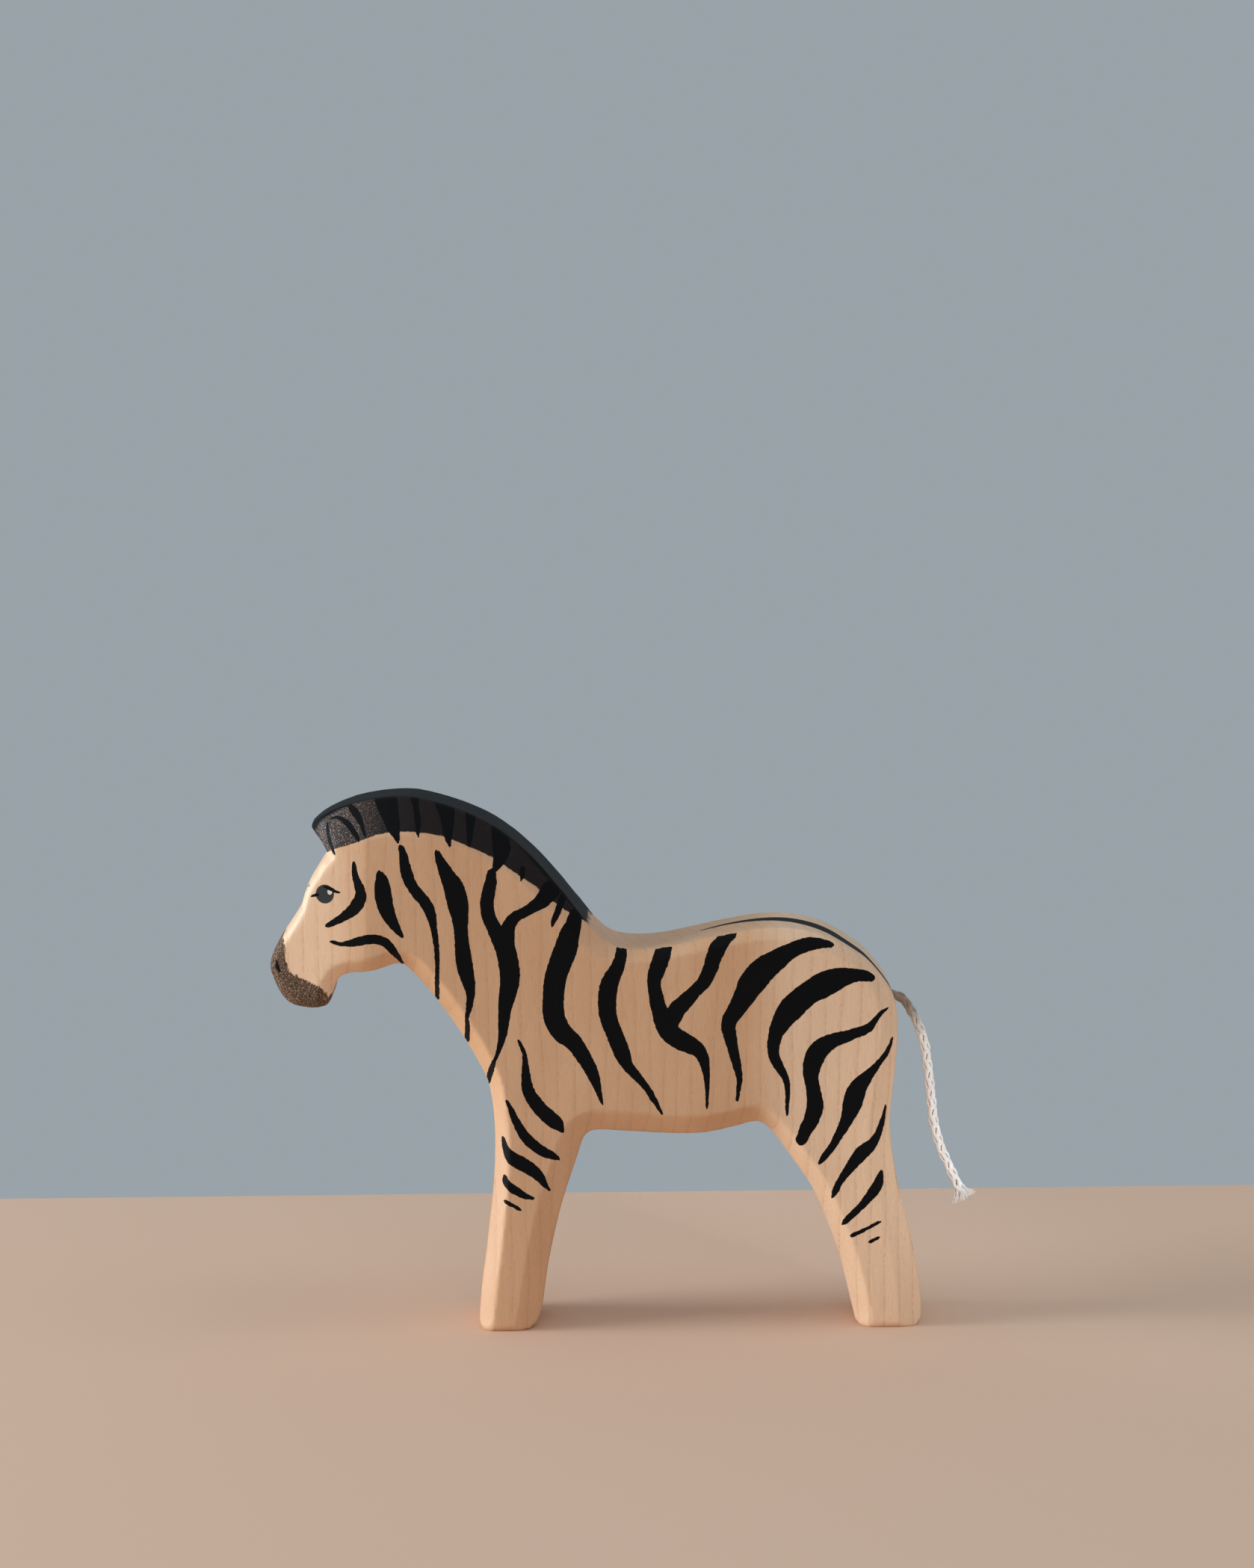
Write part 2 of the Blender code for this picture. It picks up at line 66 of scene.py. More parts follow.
# Black strokes on the side: points of each stroke's middle, x and z, with its width there. Most
# points were found by a program that followed the paint in the photo; the rest were given one by one.
STRIPES = {
    "temple": [(-64.9, 130.8, 1.1), (-64.6, 127.3, 1.8), (-63.4, 123.6, 2.7), (-63.4, 121.0, 3.4),
               (-65.3, 118.1, 3.3), (-68.8, 115.5, 2.2), (-72.5, 113.5, 1.4)],
    "cheek": [(-57.9, 127.8, 2.0), (-57.4, 125.7, 3.9), (-57.1, 121.8, 4.7), (-56.2, 117.7, 4.2),
              (-54.4, 114.0, 2.9), (-52.2, 110.6, 1.0)],
    "jaw": [(-71.5, 109.1, 1.0), (-68.7, 108.5, 1.2), (-65.2, 109.0, 2.3), (-61.1, 109.9, 2.6),
            (-57.5, 109.4, 2.6), (-54.9, 106.9, 2.3), (-52.4, 102.8, 0.8)],
    "upper neck": [(-52.1, 135.0, 1.6), (-51.5, 133.2, 2.2), (-50.8, 128.5, 3.2), (-49.1, 124.1, 3.1),
                   (-46.0, 120.1, 3.2), (-44.4, 116.9, 2.9), (-43.6, 112.9, 2.0), (-42.9, 107.2, 1.5),
                   (-42.8, 102.1, 1.3), (-43.0, 96.9, 1.3), (-43.1, 92.8, 1.2)],
    "middle neck": [(-42.3, 133.5, 1.6), (-41.5, 131.2, 2.6), (-39.8, 127.5, 4.1), (-37.9, 123.6, 5.6),
                    (-37.0, 119.5, 5.7), (-36.4, 115.4, 4.6), (-36.2, 111.3, 3.8), (-35.5, 103.1, 4.5),
                    (-34.8, 99.5, 4.1), (-34.1, 96.4, 3.1), (-34.0, 93.3, 2.2), (-34.5, 90.2, 1.6),
                    (-35.0, 88.1, 1.1), (-34.9, 85.9, 1.4), (-35.2, 81.1, 1.4)],
    "throat": [(-27.6, 127.9, 2.4), (-28.1, 124.5, 3.4), (-29.0, 120.4, 3.7), (-28.9, 116.8, 3.8),
               (-27.3, 112.7, 4.0), (-25.3, 109.1, 5.3), (-24.1, 106.0, 5.5), (-23.1, 99.4, 5.5),
               (-23.8, 94.7, 4.8), (-24.6, 90.5, 3.8), (-25.3, 83.9, 2.6), (-26.0, 80.4, 1.7),
               (-27.1, 77.3, 1.1), (-27.8, 75.8, 1.1), (-28.9, 72.4, 1.7), (-29.6, 69.1, 1.0)],
    "throat arm": [(-12.0, 122.4, 5.3), (-14.5, 119.7, 4.0), (-16.5, 118.4, 3.3), (-19.2, 116.8, 2.9),
                   (-21.7, 115.4, 3.2), (-23.3, 113.0, 3.8), (-24.2, 108.4, 4.9)],
    "shoulder": [(-5.2, 116.0, 3.5), (-5.8, 113.1, 4.5), (-6.8, 110.6, 5.5), (-7.9, 106.7, 6.3),
                 (-9.3, 103.1, 6.2), (-10.9, 98.2, 6.0), (-11.5, 92.2, 5.8), (-11.2, 87.7, 5.9),
                 (-9.3, 83.7, 5.6), (-6.0, 80.7, 4.7), (-2.5, 75.1, 3.9), (-0.6, 71.0, 3.1),
                 (0.4, 67.5, 1.9), (1.6, 63.5, 0.6)],
    "front flank": [(7.2, 106.2, 2.8), (6.9, 103.9, 3.3), (5.7, 100.7, 4.0), (3.9, 97.1, 4.9),
                    (3.2, 93.1, 5.1), (3.3, 88.3, 4.8), (5.0, 83.1, 4.6), (7.0, 77.9, 4.5),
                    (8.4, 74.4, 3.2), (10.8, 71.4, 2.5), (13.4, 68.3, 1.9), (15.2, 65.3, 1.8),
                    (17.8, 60.6, 0.6)],
    "flank fork": [(19.0, 106.4, 3.9), (18.7, 105.8, 4.3), (17.6, 102.8, 4.6), (16.4, 99.5, 4.4),
                   (15.9, 96.9, 3.7), (16.5, 92.9, 4.0), (17.4, 89.2, 4.5), (18.6, 85.9, 5.3),
                   (20.2, 83.2, 5.5), (22.6, 81.3, 5.4), (25.3, 79.9, 5.0), (27.8, 78.2, 4.0),
                   (29.2, 75.6, 3.1), (29.9, 71.7, 1.9), (30.1, 67.1, 1.2), (30.0, 62.3, 0.7)],
    "flank arm": [(37.5, 109.8, 2.0), (35.2, 108.5, 3.4), (33.2, 106.2, 4.4), (32.0, 103.2, 4.3),
                  (31.1, 100.4, 4.1), (29.7, 97.5, 3.8), (27.2, 94.8, 3.6), (24.8, 92.3, 4.2),
                  (22.3, 89.8, 4.7), (20.3, 86.5, 5.1)],
    "loin": [(64.2, 106.8, 1.5), (62.0, 107.2, 2.3), (59.0, 107.3, 3.5), (55.8, 106.6, 4.1),
             (52.7, 105.2, 4.5), (49.4, 103.1, 5.8), (45.7, 100.4, 7.1), (42.5, 96.7, 7.1),
             (40.5, 93.2, 6.0), (38.3, 89.7, 4.9), (36.4, 86.5, 4.3), (36.1, 84.0, 3.9),
             (37.0, 79.5, 3.2), (38.0, 75.0, 2.6), (38.9, 70.5, 1.7), (38.6, 66.8, 1.2),
             (38.2, 64.1, 0.7)],
    "croup": [(74.9, 97.6, 2.2), (73.7, 98.1, 2.7), (71.3, 98.5, 3.5), (67.6, 98.1, 5.2),
              (64.5, 97.1, 6.6), (61.3, 95.7, 7.1), (58.1, 93.9, 6.4), (55.4, 91.7, 6.7),
              (52.8, 89.1, 6.7), (50.2, 85.4, 5.2), (48.5, 81.2, 3.7), (48.3, 76.8, 3.2),
              (49.7, 73.5, 2.7), (51.4, 70.4, 2.0), (52.0, 66.6, 1.4), (51.9, 63.4, 1.2),
              (51.8, 60.1, 0.8)],
    "upper haunch": [(79.3, 89.1, 0.7), (77.5, 88.0, 1.1), (75.6, 85.6, 1.7), (73.8, 83.8, 2.6),
                     (69.4, 82.1, 3.1), (65.0, 80.7, 3.9), (61.3, 78.6, 5.2), (59.2, 75.3, 5.4),
                     (58.4, 71.3, 4.3), (58.8, 68.2, 3.9), (59.3, 64.9, 4.2), (59.4, 62.0, 4.7),
                     (58.5, 58.8, 4.3), (57.0, 56.0, 3.7), (55.7, 53.0, 3.2)],
    "lower haunch": [(80.7, 80.7, 0.7), (79.9, 78.4, 1.1), (78.8, 76.4, 1.6), (76.5, 73.7, 1.9),
                     (74.3, 71.1, 2.8), (72.0, 68.5, 4.4), (70.4, 65.6, 5.4), (69.5, 62.5, 5.2),
                     (68.2, 58.7, 3.6), (66.3, 54.9, 2.6), (64.1, 51.1, 2.1), (61.9, 48.2, 1.8),
                     (60.6, 46.4, 1.0)],
    "thigh": [(78.8, 61.7, 0.7), (78.4, 59.5, 1.0), (77.7, 56.9, 1.7), (76.5, 53.8, 2.2),
              (74.9, 51.5, 3.1), (72.5, 49.5, 3.8), (70.3, 47.0, 3.4), (68.0, 43.9, 2.4),
              (66.1, 41.1, 2.0), (64.9, 38.6, 1.8), (64.1, 36.8, 0.8)],
    "hock": [(77.4, 43.6, 1.1), (77.1, 42.0, 2.2), (76.4, 40.0, 3.1), (74.7, 37.6, 2.8),
             (72.4, 34.8, 2.1), (69.9, 32.3, 2.0), (67.8, 30.3, 1.7), (66.8, 29.0, 0.5)],
    "hind bar": [(77.0, 29.8, 0.9), (73.1, 27.8, 1.0), (69.5, 26.1, 1.3)],
    "hind tick": [(76.9, 25.5, 0.8), (74.4, 24.3, 1.1)],
    "forearm": [(-21.1, 81.5, 0.8), (-20.1, 79.4, 1.1), (-19.5, 77.6, 1.3), (-19.3, 74.4, 1.9),
                (-19.2, 71.4, 2.6), (-18.8, 68.3, 3.2), (-17.8, 65.8, 3.6), (-15.4, 62.4, 3.9),
                (-12.6, 59.7, 4.1), (-10.7, 58.0, 3.5), (-9.4, 56.1, 1.0)],
    "upper knee": [(-24.5, 64.7, 0.8), (-23.8, 63.3, 1.3), (-22.8, 60.7, 1.9), (-21.4, 57.7, 2.4),
                   (-19.6, 54.7, 2.8), (-17.5, 52.5, 3.1), (-15.1, 50.7, 2.8), (-12.9, 49.6, 2.5),
                   (-11.1, 48.6, 1.3), (-10.4, 47.9, 0.5)],
    "knee": [(-25.7, 54.0, 1.1), (-25.4, 52.4, 1.6), (-24.8, 51.0, 2.1), (-23.8, 49.3, 3.5),
             (-21.9, 47.9, 3.9), (-19.5, 46.5, 3.8), (-17.4, 45.0, 3.4), (-15.7, 43.2, 2.7),
             (-14.5, 41.3, 1.6), (-13.2, 39.5, 0.6)],
    "lower knee": [(-25.4, 43.4, 1.2), (-25.1, 42.1, 2.0), (-24.1, 40.9, 2.3), (-22.2, 39.5, 2.4),
                   (-20.2, 38.3, 1.9), (-18.6, 37.7, 1.3), (-17.7, 37.5, 0.8)],
    "front tick": [(-25.3, 36.6, 1.1), (-23.6, 35.7, 1.1), (-21.9, 34.7, 1.0), (-21.0, 34.1, 0.5)],
    "brow dab": [(-77.6, 125.2, 0.5), (-77.7, 124.2, 0.9)],
    "front lash": [(-75.0, 122.0, 1.0), (-75.8, 121.8, 0.8), (-76.7, 121.5, 0.6)],
    "rear lash": [(-73.0, 124.2, 0.8), (-71.5, 123.7, 1.1), (-70.1, 122.9, 0.8), (-68.6, 122.7, 0.3)],
    "nostril": [(-87.2, 104.5, 0.4), (-87.0, 103.0, 1.4), (-86.5, 101.8, 1.2), (-86.0, 100.3, 0.4)],
}

# Strokes of the mane, drawn down from the crest over the wash
MANE_STROKES = {
    "forelock curl": [(-71.2, 142.2, 0.5), (-69.3, 142.6, 0.9), (-66.8, 141.3, 1.6), (-65.1, 139.5, 1.6),
                      (-63.9, 137.8, 1.3), (-63.4, 136.5, 0.5)],
    "forelock tip": [(-72.2, 141.0, 0.5), (-72.0, 138.5, 0.9), (-71.2, 135.8, 1.1), (-70.0, 132.9, 0.5)],
    "first lock": [(-66.3, 145.8, 1.3), (-64.6, 144.2, 2.0), (-63.2, 142.1, 1.7), (-62.3, 139.9, 1.0),
                   (-61.7, 137.8, 0.5)],
    "broad lock": [(-56.4, 148.5, 6.5), (-55.6, 145.4, 5.6), (-54.8, 142.9, 4.5), (-54.1, 140.4, 3.7),
                   (-53.3, 138.4, 2.2), (-52.9, 136.4, 0.7)],
    "thin lock": [(-48.5, 148.5, 2.6), (-48.0, 145.3, 1.5), (-47.6, 142.8, 1.7), (-47.4, 140.8, 1.6),
                  (-47.5, 139.1, 1.0), (-47.2, 137.7, 0.4)],
    "third lock": [(-40.4, 147.0, 5.6), (-39.6, 143.1, 4.0), (-39.4, 140.6, 3.4), (-39.3, 138.1, 2.4),
                   (-38.9, 135.2, 0.7)],
    "fourth lock": [(-33.2, 144.0, 3.2), (-33.4, 139.3, 2.0), (-33.6, 136.8, 1.4), (-33.6, 135.3, 0.8)],
    "fifth lock": [(-25.9, 139.5, 3.6), (-25.0, 134.4, 4.8), (-25.3, 131.9, 3.8), (-26.2, 129.8, 2.6),
                   (-26.8, 128.4, 1.2)],
    "mane tick": [(-19.4, 128.6, 1.5), (-19.4, 126.6, 1.3), (-19.8, 125.6, 0.6)],
    "last lock": [(-8.6, 120.4, 2.0), (-10.1, 116.5, 1.7), (-11.2, 114.1, 1.3), (-11.6, 112.9, 0.7)],
}

# Line along the back, seen from above: x along the back, y across it, and its width
BACK_LINE = [(29.0, 1.6, 0.8), (32.6, 1.9, 1.6), (36.0, 2.3, 2.3), (42.0, 2.1, 3.8), (48.3, 1.2, 5.4),
             (54.6, 0.3, 6.8), (60.7, -1.6, 7.6), (66.9, -3.0, 7.8), (72.8, -4.6, 7.0),
             (77.0, -5.0, 5.4), (81.4, -3.6, 3.6)]
BACK_LINE_FLOOR = 90.0      # the line stays on the back, above this height

# The stripes end where the plank's sawn edge starts, this far from the middle of its thickness
BACK_RIM = 12.0
FRONT_RIM = 9.6
BACK_START = (-6.0, 95.0)   # x and z from which the edge is the back's
MANE_OVERLAP = 1.0          # locks run past the mane's edge, so the sawn edge starts this far from it

# Edges of the painted areas on the side, x and z; each area is closed round the outside of the block
MANE_EDGE = [(-84.0, 150.0), (-82.0, 135.0), (-76.0, 130.5), (-70.6, 134.4), (-63.9, 136.5), (-58.8, 138.5),
             (-53.5, 139.3), (-49.7, 139.2), (-44.6, 138.7), (-40.8, 137.9), (-35.0, 135.6),
             (-27.4, 132.0), (-23.6, 129.3), (-15.8, 123.8), (-12.0, 120.3), (-7.0, 116.5),
             (-4.2, 115.0), (-2.0, 113.4), (-0.9, 112.2), (-0.4, 114.0), (6.0, 130.0), (-30.0, 155.0)]
MUZZLE_EDGE = [(-95.0, 113.0), (-86.0, 111.2), (-84.8, 109.6), (-84.3, 108.2), (-84.4, 106.2),
               (-84.0, 103.5), (-83.1, 100.5), (-80.4, 99.0), (-77.8, 98.0), (-75.5, 96.8),
               (-73.9, 95.6), (-72.7, 93.8), (-71.4, 94.6), (-69.0, 95.0), (-69.0, 85.0), (-95.0, 85.0)]
# Half width of the flat crest along the mane: x, half width
CREST_WIDTHS = [(-78.0, 6.2), (-66.0, 7.9), (-34.0, 8.2), (-25.0, 9.2), (-16.0, 11.2), (-6.0, 12.0),
                (2.0, 12.0)]

EYE_CENTRE = (-73.0, 122.2)
EYE_RADII = (2.5, 2.6)
EYE_LIGHT_CENTRE = (-71.65, 122.85)
EYE_LIGHT_RADII = (0.64, 0.80)

# The tail's course, x and z in metres, from the bottom of its hole to its frayed end
TAIL_EXIT = (0.0819, 0.0903)
TAIL_COURSE = [
    (0.0736, 0.0928), (0.0776, 0.0916), TAIL_EXIT,
    (0.0835, 0.0897), (0.0847, 0.0887), (0.0858, 0.0872), (0.0868, 0.0854), (0.0881, 0.0829),
    (0.0894, 0.0796), (0.0903, 0.0765), (0.0907, 0.0736), (0.0911, 0.0704), (0.0915, 0.0673),
    (0.0918, 0.0641), (0.0921, 0.0610), (0.0924, 0.0579), (0.0928, 0.0546), (0.0935, 0.0515),
    (0.0944, 0.0482), (0.0956, 0.0451), (0.0970, 0.0419), (0.0985, 0.0386), (0.0999, 0.0355),
]


def linear(code):
    """Linear RGB of an sRGB hex colour."""
    shares = [int(code[place:place + 2], 16) / 255 for place in (1, 3, 5)]
    return tuple(s / 12.92 if s <= 0.04045 else ((s + 0.055) / 1.055) ** 2.4 for s in shares)


def colour_setting(name, description, code):
    return FloatVectorProperty(name=name, description=description, subtype="COLOR", size=3,
                               min=0.0, max=1.0, default=linear(code))


def length_setting(name, description, millimetres):
    return FloatProperty(name=name, description=description, unit="LENGTH", precision=5,
                         min=0.0, default=millimetres * MM)


class ZebraBlockSettings(bpy.types.PropertyGroup):
    """The sawn and sanded block and its timber."""

    fineness: length_setting("Fineness", "Distance between the points of the block's surface", 0.7)
    sanding: IntProperty(name="Sanding", description="Smoothing passes that round the arrises",
                         min=0, max=30, default=1)
    wander: length_setting("Unevenness", "How far hand sanding leaves the faces off flat", 0.12)
    ring_spacing: length_setting("Ring spacing", "Distance between growth rings on the side", 4.4)
    pale_wood: colour_setting("Pale wood", "Maple between its growth rings", "#DFAF86")
    warm_wood: colour_setting("Warm wood", "Warmer patches of the maple", "#D6A378")
    # Partly painted light: besides paler wood, this brightens the hind leg and the face as if more light
    # fell there
    sapwood_and_light: colour_setting("Sapwood", "Paler wood at both ends of the plank", "#F6CEAA")
    ring_wood: colour_setting("Ring wood", "Late wood of the growth rings and the flecks", "#BC7A4E")


class ZebraPaintSettings(bpy.types.PropertyGroup):
    """The painter's colours."""

    stripe: colour_setting("Stripe black", "Acrylic black of the stripes and the crest", "#0B0A0B")
    wash: colour_setting("Mane wash", "Thinned brown-black on the sides of the mane", "#131318")
    # Partly painted sheen: the bluer tone stands in for the window's cool sheen on the forelock
    forelock: colour_setting("Forelock wash", "Thinner, bluer wash at the forelock", "#1D1E27")
    muzzle: colour_setting("Muzzle brown", "Dry-brushed umber of the muzzle", "#38241A")
    eye: colour_setting("Eye", "Charcoal of the eye", "#202124")
    eye_light: colour_setting("Eye light", "Cream dot in the eye", "#E8DCCB")


class ZebraTailSettings(bpy.types.PropertyGroup):
    """The braided cord."""

    diameter: length_setting("Cord diameter", "Diameter of the braided cord", 2.8)
    length: length_setting("Cord length", "Length of the cord, with the part glued in its hole", 68.0)
    glued: length_setting("Glued length", "Length of the cord inside its hole", 8.7)
    pitch: length_setting("Braid pitch", "Length in which a strand goes once round the cord", 21.0)
    ply: length_setting("Yarn spacing", "Distance between the yarns side by side in a strand", 0.5)
    stain: length_setting("Stained length", "Length of brown, glue-soaked cord outside the hole", 11.0)
    cotton: colour_setting("Cotton", "Unbleached cotton of the strands", "#FFF6F0")
    # Partly painted shade: this brown also darkens the cotton where it lies deep between the strands
    dust_and_shade: colour_setting("Dust", "Dusty brown between the strands", "#7A6252")
    glue_stain: colour_setting("Glue stain", "Cotton soaked with glue at the root", "#80644B")


class ZebraStageSettings(bpy.types.PropertyGroup):
    """The plain studio."""

    floor: colour_setting("Floor", "Plain pale table top", "#E8C2A8")
    room: colour_setting("Room", "Pale blue-grey room, which also lights the shadows", "#99A3A9")
    key_power: FloatProperty(name="Window light", description="Power of the soft light on the left",
                             subtype="POWER", default=32.0)
    daylight: colour_setting("Daylight", "Cool white of the lights", "#EEF8FF")
    fill_power: FloatProperty(name="Front light", description="Power of the wide light behind the camera",
                              subtype="POWER", default=13.0)


def join(tree, node, inputs):
    """Give a node's inputs their values, or another node's output."""
    for key, value in inputs.items():
        if isinstance(value, bpy.types.Node):
            value = next(socket for socket in value.outputs if socket.enabled)
        if isinstance(value, bpy.types.NodeSocket):
            tree.links.new(value, node.inputs[key])
        else:
            node.inputs[key].default_value = value


def add(tree, kind, inputs=None, **settings):
    """Add a shader node with its settings; each input takes a value or another node's output."""
    node = tree.nodes.new("ShaderNode" + kind)
    for name, value in settings.items():
        setattr(node, name, value)
    join(tree, node, inputs or {})
    return node


FIRST, SECOND = 6, 7        # a Mix node's two colour inputs


def reckon(tree, operation, *values):
    """A sum, product or the like of values and other nodes."""
    return add(tree, "Math", dict(enumerate(values)), operation=operation)


def ramp(tree, value, ends, results=(0.0, 1.0), smooth=False):
    """Run from one result to the other as the value runs from one end to the other."""
    return add(tree, "MapRange", {"Value": value, "From Min": ends[0], "From Max": ends[1],
                                  "To Min": results[0], "To Max": results[1]},
               interpolation_type="SMOOTHSTEP" if smooth else "LINEAR")


def cover(tree, under, over, share):
    """Lay one colour over another by a share; each is a colour or a node."""
    under, over = (side if isinstance(side, bpy.types.Node) else (*side, 1.0) for side in (under, over))
    return add(tree, "Mix", {0: share, FIRST: under, SECOND: over}, data_type="RGBA")


def millimetre_place(tree):
    """Object coordinates in millimetres."""
    place = add(tree, "TexCoord").outputs["Object"]
    return add(tree, "VectorMath", {0: place, "Scale": 1 / MM}, operation="SCALE")


def waves(tree, place, spans, detail):
    """Noise whose waves have these lengths in millimetres along X, Y and Z."""
    scaled = add(tree, "Mapping", {"Vector": place, "Scale": [1 / span for span in spans]})
    return add(tree, "TexNoise", {"Vector": scaled, "Scale": 1.0, "Detail": detail})


def attribute(tree, layer):
    """A number stored for each point of the mesh."""
    return add(tree, "Attribute", attribute_name=layer).outputs["Fac"]


def shaded_material(name):
    """A new material with its node tree and its Principled shader."""
    made = bpy.data.materials.new(name)
    made.use_nodes = True
    return made, made.node_tree, made.node_tree.nodes["Principled BSDF"]


def smooth_line(points, step):
    """Points at most step apart on a smooth curve through the given ones; extra columns follow."""
    knots = [np.array(point, float) for point in points]
    padded = [2 * knots[0] - knots[1], *knots, 2 * knots[-1] - knots[-2]]
    curve = []
    for index in range(len(knots) - 1):
        before, start, end, after = padded[index:index + 4]
        count = max(1, math.ceil(np.linalg.norm((end - start)[:2]) / step))
        for t in np.arange(count) / count:
            curve.append(0.5 * (2 * start + (end - before) * t
                                + (2 * before - 5 * start + 4 * end - after) * t ** 2
                                + (3 * start - before - 3 * end + after) * t ** 3))
    curve.append(knots[-1])
    return np.array(curve)


STROKE_STEP = 0.5       # fineness of a stroke's middle line, in millimetres
STROKE_RUN_OUT = 4.0    # how far the measure of a stroke runs past its ends
EDGE_BAND = 1.1         # how far outside a stroke's edge its measure is kept
UNPAINTED = -10.0       # half width given to places away from every stroke
COAT_GAP = 3.0          # strokes of one coat keep at least this far apart
LEAST_HALF = 0.05       # half width of the thinnest line
FAR = 1000.0            # farther than any place on the figurine


class Stroke:
    """One stroke of the brush: points of its middle line and half its width at each."""

    def __init__(self, points):
        line = smooth_line(points, STROKE_STEP)
        self.middle, self.half = line[:, :2], np.maximum(line[:, 2] / 2, LEAST_HALF)
        for end in (0, -1):
            self.run_out(end)

    def run_out(self, end):
        """Carry the line straight on past an end, as the width closes round it."""
        inner = 1 if end == 0 else -2
        along = self.middle[end] - self.middle[inner]
        along /= np.linalg.norm(along)
        past = np.arange(STROKE_STEP / 2, STROKE_RUN_OUT, STROKE_STEP / 2)
        half = self.half[end]
        halves = np.where(past < half, np.sqrt(np.maximum(half ** 2 - past ** 2, 0.0)), half - past)
        places = self.middle[end] + past[:, None] * along
        if end == 0:
            self.middle = np.vstack([places[::-1], self.middle])
            self.half = np.concatenate([halves[::-1], self.half])
        else:
            self.middle = np.vstack([self.middle, places])
            self.half = np.concatenate([self.half, halves])

    def gap_to(self, other):
        between = np.linalg.norm(self.middle[:, None] - other.middle[None], axis=2)
        return (between - np.maximum(self.half, 0)[:, None] - np.maximum(other.half, 0)[None]).min()

    def measure(self, places):
        """Signed offset from the middle line, and half the width there, for each place."""
        starts, spans = self.middle[:-1], np.diff(self.middle, axis=0)
        lengths = np.linalg.norm(spans, axis=1)
        offsets = places[:, None] - starts[None]
        share = np.clip((offsets * spans).sum(axis=2) / lengths ** 2, 0.0, 1.0)
        gaps = offsets - share[..., None] * spans
        nearest = (gaps ** 2).sum(axis=2).argmin(axis=1)
        rows = np.arange(len(places))
        gap, share, span = gaps[rows, nearest], share[rows, nearest], spans[nearest]
        # The sign keeps a line whole where it is thinner than the mesh
        side = np.sign(span[:, 0] * gap[:, 1] - span[:, 1] * gap[:, 0])
        offset = np.linalg.norm(gap, axis=1) * np.where(side == 0, 1, side)
        return offset, self.half[nearest] + share * (self.half[nearest + 1] - self.half[nearest])

    def lay(self, coat, places):
        """Put this stroke's measure into a coat, one row for each place."""
        reach = self.half.max() + EDGE_BAND
        low, high = self.middle.min(axis=0) - reach, self.middle.max(axis=0) + reach
        near = np.flatnonzero(((places > low) & (places < high)).all(axis=1))
        if not len(near):
            return
        offset, half = self.measure(places[near])
        better = ((np.abs(offset) < half + EDGE_BAND)
                  & (np.abs(offset) - half < np.abs(coat[near, 0]) - coat[near, 1]))
        coat[near[better], :2] = np.stack([offset, half], axis=1)[better]


def sort_into_coats(strokes):
    """Share the strokes out so that neighbours, and strokes that cross, are never in one coat."""
    coats = []
    for stroke in strokes:
        for coat in coats:
            if all(stroke.gap_to(other) > COAT_GAP for other in coat):
                coat.append(stroke)
                break
        else:
            coats.append([stroke])
    return coats


def area_distance(places, edge):
    """Distance to the edge of a closed area, negative inside it."""
    corners = np.array(edge, float)
    starts, ends = corners, np.roll(corners, -1, axis=0)
    inside = np.zeros(len(places), bool)
    distance = np.full(len(places), np.inf)
    for start, end in zip(starts, ends):
        span = end - start
        offset = places - start
        share = np.clip(offset @ span / (span @ span), 0.0, 1.0)
        distance = np.minimum(distance, np.linalg.norm(offset - share[:, None] * span, axis=1))
        crosses = (places[:, 1] > start[1]) != (places[:, 1] > end[1])
        level = np.where(crosses, places[:, 1] - start[1], 0.0)
        inside ^= crosses & (places[:, 0] < start[0] + level * span[0] / (span[1] or 1.0))
    return np.where(inside, -distance, distance)


# Wavers of the hand on the far side: reach in millimetres, and turn in radians for each millimetre
# of x, of z and at the start; two move a place along x and two along z
WAVERS_X = ((0.9, 0.13, 0.05, 1.0), (0.5, 0.0, 0.31, 0.9))
WAVERS_Z = ((0.8, -0.06, 0.11, 2.0), (0.5, 0.27, 0.0, 0.0))


def freehand(places, depth):
    """Places as the painter repeated them on the far side, a little off those of the near side."""
    x, z = places.T
    share = np.clip(depth / HALF_PLANK, 0.0, 1.0) ** 2
    shifts = [sum(reach * np.sin(by_x * x + by_z * z + start) for reach, by_x, by_z, start in wavers)
              for wavers in (WAVERS_X, WAVERS_Z)]
    return places + share[:, None] * np.stack(shifts, axis=1)


def point_values(mesh, name, values):
    """Store a number, or three, for each point of a mesh."""
    wide = values.ndim == 2
    layer = mesh.attributes.new(name, "FLOAT_VECTOR" if wide else "FLOAT", "POINT")
    layer.data.foreach_set("vector" if wide else "value", values.astype(np.float32).ravel())


def point_places(mesh):
    """Places of a mesh's points in millimetres."""
    places = np.zeros(len(mesh.vertices) * 3, np.float32)
    mesh.vertices.foreach_get("co", places)
    return places.reshape(-1, 3).astype(float) / MM


